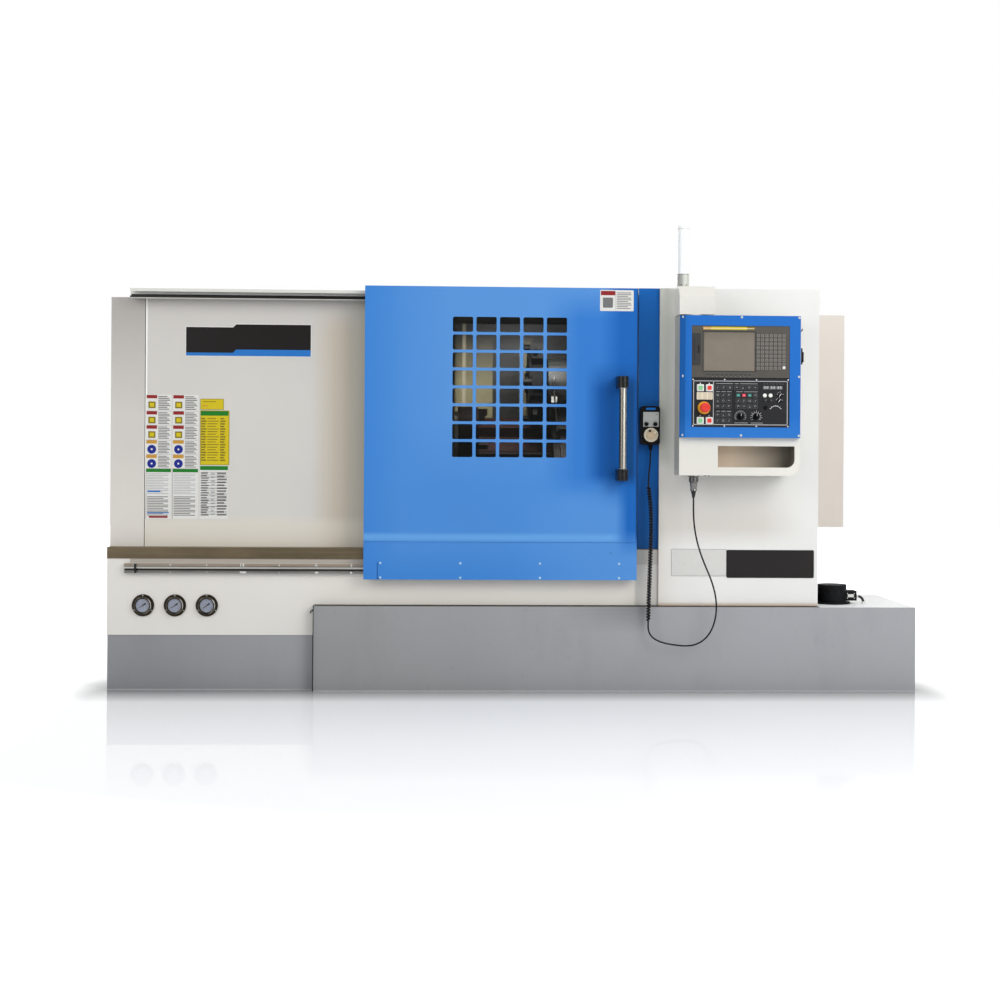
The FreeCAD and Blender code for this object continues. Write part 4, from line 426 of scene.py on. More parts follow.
def paint(name, tone, tints=(), **changes):
    # powder coat: orange peel, slow clouds in tone and gloss, a few rubbed patches, and local tones, many of
    # which are painted light and shade
    values = dict(paintValues, **changes)
    finish = Finish(name, Coat_Roughness=0.22, Specular_IOR_Level=values["shine"])
    cloud = finish.spread(finish.noise(values["cloudScale"], detail=4.0), 0.3, 0.7)
    base = finish.blend(cloud, scaled(tone, 1 - 2 * values["cloud"]), scaled(tone, 1 + 2 * values["cloud"]))
    base = finish.tinted(base, tints)
    if values["dirt"]:
        smudge = finish.spread(finish.noise(4.0, (1, 1, 0.35), 6.0, 0.62), 0.52, 0.78)
        speck = finish.spread(finish.noise(42.0, (1, 1, 0.6), 3.0, 0.7), 0.60, 0.72)
        base = finish.blend((smudge + speck * 0.5) * values["dirt"], base, values["dirtTone"])
    rub = finish.spread(finish.noise(6.5, (0.6, 1, 1.3), 5.0, 0.6), 0.35, 0.75)
    finish.set("Base Color", base)
    finish.set("Roughness", values["roughness"] + rub * values["roughnessSpread"])
    finish.set("Coat Weight", values["coat"] * (1 - rub * 0.6))
    finish.bump(finish.noise(values["peelScale"], detail=2.0), values["peelStrength"], values["peelDepth"])
    return finish.material


steelValues = {"streak": 0.10, "blotchScale": 3.2, "blotch": 0.30}


def brushedSteel(name, tone, roughness, along=(1, 60, 60), tints=(), dull=(), **changes):
    # drawn metal: long streaks along one axis, blotches where hands and coolant have been; dull is a
    # region that is painted or plastic, not bare metal
    values = dict(steelValues, **changes)
    finish = Finish(name)
    streak = finish.noise(1.5, along, 4.0, 0.7)
    blotch = finish.spread(finish.noise(values["blotchScale"], (1, 1, 2.2), 4.0, 0.55), 0.35, 0.7)
    base = finish.blend(blotch, scaled(tone, 1 - values["blotch"]), tone)
    drawn = finish.spread(streak, 0.45, 0.75, 0.0, 0.8)
    base = finish.blend(drawn, base, scaled(tone, 1 + values["streak"]))
    finish.set("Base Color", finish.tinted(base, tints))
    finish.set("Roughness", roughness + finish.spread(streak, 0.3, 0.7) * 0.12 + blotch * 0.06)
    metal = 1.0
    for ramps in dull:
        metal = (1 - finish.region(ramps)) * metal
    finish.set("Metallic", metal)
    finish.bump(streak, 0.12, 0.0002)
    return finish.material


def groundSteel(name, tone, roughness, marks=420.0):
    # ground or turned steel: fine tool marks and a thin film of oil
    finish = Finish(name, Metallic=1.0)
    mark = finish.noise(marks / 60, detail=3.0, rough=0.65)
    film = finish.spread(finish.noise(9.0, detail=4.0), 0.4, 0.68)
    tinted = tuple(channel * factor for channel, factor in zip(tone[:3], (0.80, 0.78, 0.72))) + (1,)
    finish.set("Base Color", finish.blend(film * 0.7, tone, tinted))
    finish.set("Roughness", roughness + film * 0.10 + mark * 0.10)
    finish.bump(mark, 0.10, 0.0002)
    return finish.material


def plastic(name, tone, roughness, grain=900.0, grainStrength=0.12, coat=0.0, tints=(), shine=0.3):
    # moulded plastic or rubber: a fine spark-eroded grain and lighter rubbed spots
    finish = Finish(name, Coat_Roughness=0.15, Specular_IOR_Level=shine)
    rub = finish.spread(finish.noise(14.0, detail=4.0, rough=0.6), 0.45, 0.75)
    base = finish.blend(rub * 0.3, tone, scaled(tone, 1.3))
    finish.set("Base Color", finish.tinted(base, tints))
    finish.set("Roughness", roughness + rub * 0.10)
    finish.set("Coat Weight", coat * (1 - rub * 0.5))
    finish.bump(finish.noise(grain, detail=1.0), grainStrength, 0.0002)
    return finish.material


def casting(name, tone, dirtTone):
    # machine casting under filler and paint: a rough skin, oily in patches
    finish = Finish(name, Specular_IOR_Level=0.35)
    skin = finish.noise(34.0, detail=6.0, rough=0.65)
    oil = finish.spread(finish.noise(3.2, (1, 1, 0.6), 5.0), 0.45, 0.75)
    finish.set("Base Color", finish.blend(oil * 0.55, tone, dirtTone))
    finish.set("Roughness", 0.52 - oil * 0.18)
    finish.bump(skin, 0.35, 0.0012)
    return finish.material


def clearPane(name, tone, alpha):
    # tinted sheet or glass: mostly seen through, a little hazed where it has been wiped
    finish = Finish(name, Base_Color=tone, Specular_IOR_Level=0.4)
    wipe = finish.spread(finish.noise(5.0, (1, 1, 3), 5.0, 0.6), 0.45, 0.8)
    finish.set("Roughness", 0.04 + wipe * 0.12)
    finish.set("Alpha", alpha + wipe * 0.05)
    return finish.material


def printed(name, tone, roughness=0.45):
    # printed card, film or ink: matt, with a faint mottle
    finish = Finish(name, Roughness=roughness, Specular_IOR_Level=0.35)
    mottle = finish.spread(finish.noise(60.0, detail=3.0), 0.35, 0.65)
    finish.set("Base Color", finish.blend(mottle, scaled(tone, 0.97), tone))
    return finish.material


# left panel: slightly darker towards the top; a warm darker band and then greyer painted shade beside the
# door, where the door's shadow falls; lighter low down, painted reflection of the floor; a thin painted
# highlight along the seam with the end column
leftPanelLightAndShade = [
    (0.9, [("z", 1.20, 1.58)], seenAs(207, 203, 197)),
    (0.8, [("x", -0.86, -0.76), ("z", 1.62, 1.50)], seenAs(206, 192, 170)),
    (0.7, [("x", -0.72, -0.65)], seenAs(200, 197, 182)),
    (0.6, [("z", 0.73, 0.69)], seenAs(228, 219, 203)),
    (0.8, [("x", -1.5460, -1.5472), ("z", 0.66, 1.0)], colour(255, 255, 250)),
]
# left end column: darker towards its top and lighter towards its foot, painted shade and painted light
columnLightAndShade = [
    (1.0, [("z", 1.15, 1.56)], seenAs(182, 177, 171)),
    (0.6, [("z", 1.0, 0.7)], seenAs(228, 221, 212)),
]
# lower front cover: a band of painted shade and reflection under the sill, lighter and warmer towards the
# door, painted light, and the door's painted shadow at its right
coverLightAndShade = [
    (0.75, [("z", 0.524, 0.532), ("x", -1.604, -1.600)], seenAs(168, 156, 142)),
    (0.5, [("x", -0.95, -0.60), ("z", 0.49, 0.47)], seenAs(232, 224, 210)),
    (0.6, [("x", 0.505, 0.515)], seenAs(176, 175, 171)),
]
# right cabinet: the pendant's painted shadow beside it, painted shade under the pendant and further down,
# and brownish towards its foot
rightTints = [
    (0.85, [("x", 0.672, 0.640), ("z", 0.93, 0.98)], seenAs(210, 211, 200)),
    (0.6, [("x", 0.72, 0.60), ("z", 0.98, 0.90)], seenAs(228, 219, 206)),
    (0.8, [("z", 0.95, 0.72), ("x", 1.25, 1.05), ("z", 0.60, 0.68)], seenAs(214, 208, 200)),
    (0.7, [("z", 0.374, 0.360)], seenAs(196, 166, 136)),
]
# door, mostly painted light: painted shade along its left edge, a lighter painted sheen over its upper left,
# painted shade at its upper right, a lighter painted sheen low on the right, painted shade right of the
# handle and low at the right, the handle's painted shadow on both sides of it, painted shade of the fold at
# the right edge, a painted highlight along the skirt's top, and darker low on the skirt
doorShadeAndSheen = [
    (1.0, [("x", -0.48, -0.62)], seenAs(66, 134, 212)),
    (0.95, [("x", -0.52, -0.28), ("z", 0.86, 1.16)], seenAs(90, 149, 217)),
    (0.95, [("x", 0.11, 0.26), ("z", 0.80, 0.90), ("z", 1.68, 1.56)], seenAs(54, 124, 206)),
    (0.9, [("x", 0.00, 0.25), ("z", 0.85, 0.77)], seenAs(86, 147, 217)),
    (1.0, [("x", 0.35, 0.44), ("z", 0.76, 0.92)], seenAs(27, 102, 186)),
    (1.0, [("x", 0.42, 0.47), ("z", 0.56, 0.68)], seenAs(28, 103, 187)),
    (1.0, [("x", 0.285, 0.355), ("z", 0.86, 0.91), ("z", 1.38, 1.27)], seenAs(23, 91, 170)),
    (1.0, [("x", 0.446, 0.458), ("x", 0.498, 0.488), ("z", 0.86, 0.92), ("z", 1.33, 1.25)],
     seenAs(19, 76, 135)),
    (1.0, [("x", 0.5035, 0.5055), ("z", 0.62, 0.66)], seenAs(26, 66, 112)),
    (0.9, [("z", 0.665, 0.650), ("z", 0.62, 0.64), ("x", 0.45, 0.40)], seenAs(104, 166, 228)),
    (0.8, [("z", 0.60, 0.48), ("x", 0.40, -0.20)], seenAs(61, 131, 209)),
]
handSlot = [("y", -0.853, -0.851)] + inside("z", 0.944, 1.030, 0.004)
# pendant housing: the hand slot lit at its left, painted light, and darker towards its right, painted shade;
# painted shade on the housing's left side
slotAndSideShade = [
    (1.0, handSlot + inside("x", 0.826, 1.146, 0.004), colour(214, 198, 178)),
    (0.95, handSlot + [("x", 0.90, 1.12)], colour(106, 101, 90)),
    (0.9, [("x", 0.6675, 0.6665)], seenAs(166, 166, 160)),
]
innerFace = [("y", 0.5992, 0.5986)]
innerWall = innerFace + [("z", 1.158, 1.178)]
# inside of the rear cover: near black, painted shade, and darker still towards the top, painted shadow;
# reddish brown below the guard's foot; beige guard panels that fade upwards into the painted shade; a
# painted highlight down the lit edge of the left guard
rearTints = [
    (1.0, innerFace, colour(36, 34, 30)),
    (0.9, innerFace + [("z", 1.36, 1.52)], colour(16, 15, 14)),
    (0.9, innerFace + [("z", 1.178, 1.158)], colour(40, 26, 25)),
    (0.9, innerWall + [("x", -0.255, -0.215), ("x", -0.045, -0.050), ("z", 1.58, 1.34)],
     colour(198, 188, 142)),
    (0.9, innerWall + [("x", -0.202, -0.196), ("x", -0.178, -0.187), ("z", 1.72, 1.46)],
     colour(250, 240, 206)),
    (0.9, innerWall + [("x", 0.084, 0.088), ("x", 0.150, 0.146), ("z", 1.58, 1.50)], colour(172, 163, 128)),
]
# grey base: lighter towards the right, painted light falling from that side, and a painted light line along
# its foot
greyPaintedLight = [
    (0.8, [("x", -1.40, -0.95)], colour(157, 158, 160)),
    (0.8, [("z", 0.004, 0.002)], colour(196, 197, 198)),
]
# signal lamp: a grey base, darker on its left side, painted shade, and a painted grey shade along the tube's
# right edge
lampTints = [
    (1.0, [("z", 1.7465, 1.7455)], colour(202, 202, 193)),
    (0.8, [("z", 1.7465, 1.7455), ("x", 0.689, 0.684)], colour(150, 150, 146)),
    (0.6, [("z", 1.7475, 1.7485), ("x", 0.7135, 0.7175)], colour(190, 190, 196)),
]
handleEnds = [("z", 0.9325, 0.9315), ("z", 1.2685, 1.2695)]
# handle: the tube's left side darker, painted shade, and black brackets at both ends
handleTints = [
    (0.85, [("x", 0.4445, 0.4300)], (0.10, 0.08, 0.05, 1)),
    (1.0, [handleEnds[0]], (0.005, 0.005, 0.005, 1)),
    (1.0, [handleEnds[1]], (0.005, 0.005, 0.005, 1)),
]
# bezel: painted shade on its left side and painted light towards its foot
bezelLightAndShade = [
    (0.8, [("x", 0.710, 0.680)], seenAs(31, 102, 178)),
    (0.7, [("z", 1.16, 1.09)], seenAs(50, 123, 204)),
]
rearDoorTints = [
    (1.0, [("y", 0.8848, 0.8853)], colour(30, 30, 32)),
    (1.0, [("y", 0.8940, 0.8944), ("x", 1.610, 1.600)], colour(186, 28, 26)),
]
unitFaces = [("y", 0.6205, 0.6215)]
rearCabinetTints = [
    (1.0, inside("x", 0.601, 1.649) + inside("z", 0.691, 1.649) + inside("y", 0.6195, 0.855),
     colour(186, 189, 191)),
    (1.0, inside("z", 1.240, 1.560) + inside("x", 0.680, 1.170) + unitFaces, colour(52, 54, 57)),
    (1.0, inside("z", 1.040, 1.130) + inside("x", 0.680, 1.577) + unitFaces, colour(138, 141, 143)),
    (1.0, inside("z", 0.760, 0.960) + inside("x", 1.317, 1.577) + unitFaces, colour(44, 46, 50)),
]
# tank: lighter towards the right, painted light; the curly cord's painted shadow; brown on its top and white
# at the top's right end; a painted light line along its foot; painted shade at its left end and in the gap
# to the base
tankTints = [
    (0.9, [("x", -0.78, 1.05)], colour(164, 164, 168)),
    (0.5, [("x", 0.20, 0.53), ("x", 0.56, 0.54), ("z", 0.24, 0.34)], colour(84, 84, 82)),
    (0.95, [("z", 0.3535, 0.3545)], colour(66, 58, 50)),
    (1.0, [("z", 0.3535, 0.3545), ("x", 1.287, 1.290)], colour(252, 252, 252)),
    (0.8, [("z", 0.004, 0.002)], colour(198, 199, 200)),
    (0.5, [("x", -0.805, -0.84)], colour(132, 133, 134)),
    (1.0, [("x", -0.8362, -0.8372)], colour(36, 36, 36)),
]
# door rails: the lower rail's upper plate brownish, its own tone and partly painted shade under the sill; a
# painted highlight along its rib and painted shade in its groove; the upper rail ivory, with painted light
# in its recess and a painted shadow along its foot
railTints = [
    (0.85, [("z", 0.5165, 0.5175)], colour(146, 130, 112)),
    (0.9, [("z", 0.5140, 0.5130), ("z", 0.5055, 0.5065)], colour(238, 235, 226)),
    (0.9, [("z", 0.5062, 0.5052), ("z", 0.4975, 0.4985)], (0.01, 0.01, 0.01, 1)),
    (1.0, [("z", 1.0, 1.1)], colour(216, 214, 206)),
    (0.8, [("z", 1.6495, 1.6500), ("z", 1.6595, 1.6590)], colour(250, 250, 246)),
    (1.0, [("z", 1.6330, 1.6340), ("z", 1.6510, 1.6500)], (0.008, 0.007, 0.005, 1)),
]

finishes = {
    "paint_ivory": paint("ivoryPaint", colour(224, 221, 212)),
    "paint_blue": paint("bluePaint", seenAs(77, 141, 214), doorShadeAndSheen, cloud=0.015, roughness=0.36,
                        shine=0.12, coat=0.02),
    # the post: darker towards its foot, painted shade
    "paint_blue_dark": paint("darkBluePaint", seenAs(24, 107, 191),
                             [(0.85, [("z", 0.95, 0.62)], seenAs(28, 79, 136))], cloud=0.02,
                             shine=0.12, coat=0.02),
    "paint_grey": paint("greyPaint", colour(143, 144, 147), greyPaintedLight, dirt=0.10, cloud=0.03,
                        roughness=0.42),
    "cast_iron": casting("castingPaint", colour(168, 160, 136), colour(60, 46, 38)),
    # stainless sheet such as the sill: tinted brown, a painted reflection of the room
    "stainless": brushedSteel("stainlessSheet", (0.265, 0.208, 0.130, 1), 0.34),
    "rail_steel": brushedSteel("railSteel", (0.50, 0.49, 0.47, 1), 0.24, blotch=0.35),
    "ground_steel": groundSteel("groundSteel", (0.58, 0.58, 0.57, 1), 0.22),
    "motor_black": paint("motorPaint", colour(16, 17, 19), cloud=0.08, roughness=0.50, shine=0.15, coat=0.0),
    "rubber": plastic("rubber", (0.022, 0.022, 0.023, 1), 0.62, 300.0, 0.2),
    "chrome": groundSteel("chromePlate", (0.72, 0.72, 0.72, 1), 0.10, marks=200.0),
    "lamp_tube": plastic("frostedTube", colour(246, 247, 246), 0.24, coat=0.3, grainStrength=0.02,
                         tints=lampTints),
    "black_plastic": plastic("blackPlastic", (0.004, 0.004, 0.005, 1), 0.42, shine=0.12),
    "cord_black": plastic("cordSheath", (0.006, 0.006, 0.007, 1), 0.42, 500.0, 0.05),
    "clear_pane": clearPane("windowPane", (0.010, 0.011, 0.010, 1), 0.45),
    "handle_grey": brushedSteel("handleTube", (0.74, 0.71, 0.64, 1), 0.20, (60, 60, 1), blotch=0.08,
                                tints=handleTints, dull=[[end] for end in handleEnds]),
    "unit_grey": plastic("displayGrey", colour(80, 76, 70), 0.40, 700.0, 0.08,
                         tints=[(1.0, [("y", -0.8786, -0.8792)], colour(120, 116, 109))]),
    "panel_black": plastic("panelBlack", (0.012, 0.012, 0.014, 1), 0.36, 700.0, 0.05,
                           tints=[(1.0, [("y", -0.8783, -0.8788)], (0.022, 0.022, 0.024, 1))]),
    "button_green": plastic("buttonGreen", colour(132, 194, 138), 0.25, 400.0, 0.03, 0.3),
    "button_red": plastic("buttonRed", colour(222, 60, 50), 0.25, 400.0, 0.03, 0.4),
    "wheel_ivory": plastic("wheelIvory", colour(216, 204, 180), 0.34, 400.0, 0.04, 0.2),
}
nodeFinishes = {
    "left_front_panel": paint("leftPanelPaint", seenAs(215, 211, 204), leftPanelLightAndShade),
    "left_end_cover": paint("leftEndPaint", seenAs(214, 209, 202), columnLightAndShade),
    "lower_front_cover": paint("lowerCoverPaint", colour(224, 220, 213), coverLightAndShade),
    "right_front_cabinet": paint("rightCabinetPaint", colour(230, 229, 225), rightTints),
    "pendant_housing": paint("pendantPaint", colour(223, 220, 211), slotAndSideShade),
    "pendant_bezel": paint("bezelPaint", seenAs(34, 110, 197), bezelLightAndShade, cloud=0.015, shine=0.12,
                           coat=0.02),
    "cabinet_door": paint("rearDoorPaint", colour(224, 215, 205), rearDoorTints),
    "electrical_cabinet": paint("rearCabinetPaint", colour(224, 215, 205), rearCabinetTints),
    "rear_cover": paint("rearCoverPaint", colour(214, 209, 202), rearTints),
    "headstock_guard": paint("guardPaint", colour(120, 114, 92)),
    "coolant_tank": paint("tankPaint", colour(149, 149, 149), tankTints, dirt=0.11, cloud=0.03),
    # roof: dark along its lowest strip, painted shadow under the upper rail
    "roof_panel": paint("roofPaint", colour(228, 226, 220),
                        [(1.0, [("z", 1.6425, 1.6415)], colour(26, 25, 23))],
                        roughness=0.58, coat=0.0, shine=0.15),
    "turret_disc": groundSteel("turretSteel", (0.016, 0.016, 0.016, 1), 0.46),
    # chuck and jaws near black, painted shade inside the machine
    "chuck_body": groundSteel("chuckSteel", (0.018, 0.013, 0.012, 1), 0.42),
    "chuck_jaw_1": groundSteel("jawSteel", (0.035, 0.026, 0.024, 1), 0.42),
    "tailstock": casting("tailstockPaint", colour(48, 46, 42), colour(28, 26, 25)),
    "cross_slide": casting("slidePaint", colour(44, 46, 43), colour(24, 25, 24)),
    "saddle": casting("saddlePaint", colour(34, 30, 28), colour(22, 20, 20)),
    "z_ball_screw": groundSteel("screwSteel", (0.02, 0.016, 0.016, 1), 0.46),
    "bed_casting": casting("bedPaint", colour(60, 34, 32), colour(34, 22, 21)),
    "chip_pan": casting("panPaint", colour(70, 46, 42), colour(38, 26, 24)),
    "door_rails": brushedSteel("doorRails", (0.40, 0.385, 0.36, 1), 0.26, blotch=0.3, tints=railTints,
                               dull=[[("z", 1.0, 1.1)], [("z", 0.5165, 0.5175)]]),
}
whitePrint = printed("whitePrint", (0.80, 0.80, 0.78, 1))
palePrint = printed("palePrint", (0.42, 0.42, 0.42, 1))
greyPrint = printed("greyPrint", (0.16, 0.16, 0.16, 1))
blackPrint = printed("blackPrint", (0.010, 0.0075, 0.007, 1), 0.35)
plateWhite = printed("plateWhite", colour(214, 212, 207))
fieldWhite = printed("fieldWhite", colour(220, 218, 213))
fieldGrey = printed("fieldGrey", colour(122, 120, 116))
bluePrint = printed("bluePrint", colour(28, 112, 190))
greenPrint = printed("greenPrint", colour(10, 118, 24))
yellowPrint = printed("yellowPrint", colour(206, 184, 0))
mustardPrint = printed("mustardPrint", colour(128, 112, 14))
redPrint = printed("redPrint", colour(142, 26, 28))
deepBluePrint = printed("deepBluePrint", colour(6, 30, 132))
amberPrint = printed("amberPrint", colour(194, 142, 46))
creamPrint = printed("creamPrint", colour(226, 214, 188))
copperWinding = groundSteel("copperWinding", (0.42, 0.17, 0.07, 1), 0.34)
signalYellow = printed("signalYellow", colour(238, 172, 40), 0.3)
dialBlue = printed("dialBlue", colour(128, 134, 152))
keyTeal = plastic("keyTeal", colour(52, 132, 124), 0.3, coat=0.3)
keyRed = plastic("keyRed", colour(222, 62, 84), 0.3, coat=0.3)
screenGlass = plastic("screenGlass", colour(128, 119, 106), 0.16, 300.0, 0.0, 0.3,
                      [(0.5, [("z", 1.46, 1.50)], colour(108, 100, 88))])
plateDark = plastic("plateDark", colour(54, 54, 56), 0.35)
slotDark = plastic("slotDark", (0.006, 0.006, 0.006, 1), 0.6)
gaugeSteel = groundSteel("gaugeSteel", (0.045, 0.037, 0.027, 1), 0.26)
gaugeRing = groundSteel("gaugeRing", (0.10, 0.088, 0.068, 1), 0.12)
plugSteel = groundSteel("plugSteel", (0.26, 0.25, 0.24, 1), 0.14, marks=200.0)
gaugeGlass = clearPane("gaugeGlass", (0.9, 0.92, 0.95, 1), 0.06)
unitPlate = printed("unitPlate", colour(176, 176, 172), 0.35)
whitePlastic = plastic("whitePlastic", colour(238, 238, 232), 0.30, coat=0.2)
zincScrew = plastic("zincScrew", colour(212, 212, 206), 0.24, coat=0.4)
blueScrew = plastic("blueScrew", colour(176, 208, 232), 0.24, coat=0.4)
blackScrew = groundSteel("blackScrew", (0.05, 0.05, 0.052, 1), 0.30)
wheelTan = plastic("wheelTan", colour(198, 176, 146), 0.34, 400.0, 0.04, 0.2)
print("materials made")


def dressNodes():
    # each CAD node gets its own finish, or that of the material slot that the record gives it
    slotOf = {part["node"]: part["material_slot"] for part in frame["record"]["subparts"]}
    for number in (2, 3):
        nodeFinishes["chuck_jaw_" + str(number)] = nodeFinishes["chuck_jaw_1"]
    for name, node in nodes.items():
        node.data.materials.clear()
        node.data.materials.append(nodeFinishes.get(name) or finishes[slotOf[name]])


# The stage: camera, lamps, world and floor.

viewValues = {"place": (-0.357, -7.4, 1.0), "yaw": 2.5, "roll": 0.38, "lens": 57.6, "sensor": 36.0,
              "shiftDown": -0.048}


def addCamera():
    # the camera stands level and looks a little to the right; its picture is rolled a little clockwise
    yaw, roll = math.radians(viewValues["yaw"]), math.radians(viewValues["roll"])
    forward = Vector((math.sin(yaw), math.cos(yaw), 0))
    level = Vector((math.cos(yaw), -math.sin(yaw), 0))
    up = Vector((0, 0, 1))
    right = level * math.cos(roll) + up * math.sin(roll)
    top = up * math.cos(roll) - level * math.sin(roll)
    camera = bpy.data.objects.new("photoCamera", bpy.data.cameras.new("photoCamera"))
    camera.data.lens = viewValues["lens"]
    camera.data.sensor_width = viewValues["sensor"]
    camera.data.shift_y = viewValues["shiftDown"]
    camera.data.clip_end = 60
    turn = Matrix((right, top, -forward)).transposed()
    camera.matrix_world = Matrix.Translation(viewValues["place"]) @ turn.to_4x4()
    bpy.context.scene.collection.objects.link(camera)
    bpy.context.scene.camera = camera


lampValues = {
    "key": {"place": (3.6, -4.6, 3.6), "target": (0.2, -0.6, 0.9), "size": 3.2, "power": 150},
    "fill": {"place": (-4.2, -4.8, 2.6), "target": (-0.4, -0.6, 0.9), "size": 3.0, "power": 70},
    "rear": {"place": (0.5, 5.5, 3.8), "target": (0, 0.5, 0.9), "size": 3.5, "power": 120},
    "inside": {"place": (0.10, -0.20, 1.52), "target": (0.05, 0.2, 0.9), "size": 0.36, "power": 17},
}
worldValues = {"light": (0.62, 0.64, 0.66, 1), "front": (0.30, -0.05), "screenStart": (0.14, 0.28),
               "screenEnd": (0.92, 0.78), "left": (-0.15, -0.45), "above": (0.45, 0.75), "darkest": 0.06,
               "screenGlow": 0.94, "leftGlow": 0.14, "aboveGlow": 0.5}


def addLamps():
    for name, values in lampValues.items():
        lamp = bpy.data.lights.new(name + "Lamp", "AREA")
        lamp.size = values["size"]
        lamp.energy = values["power"]
        holder = bpy.data.objects.new(name + "Lamp", lamp)
        holder.location = values["place"]
        way = Vector(values["target"]) - Vector(values["place"])
        holder.rotation_euler = way.to_track_quat("-Z", "Y").to_euler()
        bpy.context.scene.collection.objects.link(holder)


def addWorld():
    # the world lights the machine plainly, is white to the camera, and shows metal a studio: white behind
    # and above, a bright screen front right, a dim one front left and dark between them
    world = bpy.data.worlds.new("studio")
    bpy.context.scene.world = world
    world.use_nodes = True
    sky = Finish("studio", world.node_tree, "Generated")
    light = sky.tree.nodes["Background"]
    v = worldValues
    light.inputs[0].default_value = v["light"]
    x, y, z = (sky.axis(letter) for letter in "xyz")
    front = sky.spread(y, *v["front"])
    screen = sky.spread(x, *v["screenStart"]) * sky.spread(x, *v["screenEnd"])
    left = sky.spread(x, *v["left"]) * v["leftGlow"]
    above = sky.spread(z, *v["above"]) * v["aboveGlow"]
    shade = front * (1 - (v["darkest"] + screen * v["screenGlow"] + left + above))
    path = sky.node("ShaderNodeLightPath")
    glossy = Varying(sky, path.outputs["Is Glossy Ray"])
    shown = glossy.maths("MAXIMUM", Varying(sky, path.outputs["Is Camera Ray"]), glossy)
    studio = sky.node("ShaderNodeBackground", {}, {0: (1, 1, 1, 1), 1: 1 - glossy * shade})
    mix = sky.node("ShaderNodeMixShader", {}, {0: shown, 1: light.outputs[0], 2: studio.outputs[0]})
    sky.tree.links.new(mix.outputs[0], sky.tree.nodes["World Output"].inputs[0])


floorValues = {"half": 14.0, "paper": (0.80, 0.80, 0.80, 1), "glow": (0.36, 0.20), "far": 1.0,
               "mirror": 0.47, "mirrorNear": -0.72, "mirrorFar": -2.9, "mirrorRoughness": 0.03,
               "front": -0.68, "end": 1.70, "shadow": (0.12, 0.30, 0.22), "reach": 10, "darkest": 0.15,
               "away": (3.0, 4.2)}


def addFloor():
    # a white floor with a mirror image that fades towards the camera, and a soft contact shadow:
    # distance = root of (past the ends / a)^2 + (before the front / b)^2 + (behind it / c)^2
    v = floorValues
    half = v["half"]
    mesh = bpy.data.meshes.new("floor")
    corners = [(-half, -half, 0), (half, -half, 0), (half, half, 0), (-half, half, 0)]
    mesh.from_pydata(corners, [], [(0, 1, 2, 3)])
    floor = bpy.data.objects.new("floor", mesh)
    bpy.context.scene.collection.objects.link(floor)
    finish = Finish("floorPaper")
    tree = finish.tree
    tree.nodes.remove(finish.shader)
    path = finish.node("ShaderNodeLightPath")
    direct = Varying(finish, path.outputs["Is Camera Ray"])
    x, y = finish.axis("x"), finish.axis("y")
    end, front, reach = v["end"], v["front"], v["reach"]
    past = finish.spread((x * x) ** 0.5, end, end + reach, 0, reach / v["shadow"][0])
    before = finish.spread(y, front, front - reach, 0, reach / v["shadow"][1])
    behind = finish.spread(y, front + 0.1, front + reach, 0, (reach - 0.1) / v["shadow"][2])
    distance = (past * past + before * before + behind * behind) ** 0.5
    contact = finish.spread(distance, 0, 1.1, v["darkest"], 1)
    glow = finish.spread(y, front, v["mirrorFar"], *v["glow"])
    glow = glow - finish.spread(x, 0.2, 1.6, 0, 0.06) + finish.spread((x * x) ** 0.5, 1.74, 2.0, 0, 0.4)
    glow = glow + finish.spread(y, front + 0.2, front + 0.6, 0, 0.3)
    away = finish.spread((x * x + y * y) ** 0.5, *v["away"], 0, v["far"])
    paper = finish.node("ShaderNodeBsdfDiffuse", {}, {0: finish.blend(contact, (0, 0, 0, 1), v["paper"])})
    shine = finish.node("ShaderNodeEmission", {}, {0: (1, 1, 1, 1), 1: direct * contact * (glow + away)})
    lit = finish.node("ShaderNodeAddShader", {}, {0: paper.outputs[0], 1: shine.outputs[0]})
    mirror = finish.node("ShaderNodeBsdfGlossy", {},
                         {"Color": (1, 1, 1, 1), "Roughness": v["mirrorRoughness"]})
    fade = finish.spread(y, v["mirrorFar"], v["mirrorNear"], 0, v["mirror"])
    mixed = finish.node("ShaderNodeMixShader", {},
                        {0: fade * direct, 1: lit.outputs[0], 2: mirror.outputs[0]})
    tree.links.new(mixed.outputs[0], tree.nodes["Material Output"].inputs[0])
    mesh.materials.append(finish.material)


bpy.context.scene.view_settings.view_transform = "Standard"
dressNodes()
addCamera()
addLamps()
addWorld()
addFloor()
print("stage set")


# The hand unit's cord: upper lead, curly stretch and lower lead to the pendant are one line.

cordValues = {"radius": 3.5 * mm, "curlRadius": 6.8 * mm, "curlTurns": 48, "turnSteps": 12, "easeTurns": 0.6,
              "length": 3.117}
upperRoute = [(570, -696, 1012), (570, -696, 978), (567, -699, 941), (562, -703.5, 905), (560, -712, 868)]
curlRoute = [(560, -712, 868), (569.5, -716, 785), (572.5, -721, 702), (570, -728, 619), (566, -735.5, 536),
             (562.5, -742.5, 453), (559, -749, 370), (557, -752, 290)]
lowerRoute = [(557, -752, 290), (557, -754, 262), (567, -757, 237), (590, -761, 219), (624, -765, 207),
              (668, -769, 200), (714, -773, 196), (757, -777, 203), (795, -781, 228), (821, -785, 268),
              (835, -788, 317), (838, -790, 369), (830, -792, 423), (813, -793, 477), (789, -794, 531),
              (767, -795, 586), (750, -795, 645), (740, -795, 705), (737, -795, 762), (737, -795, 815)]


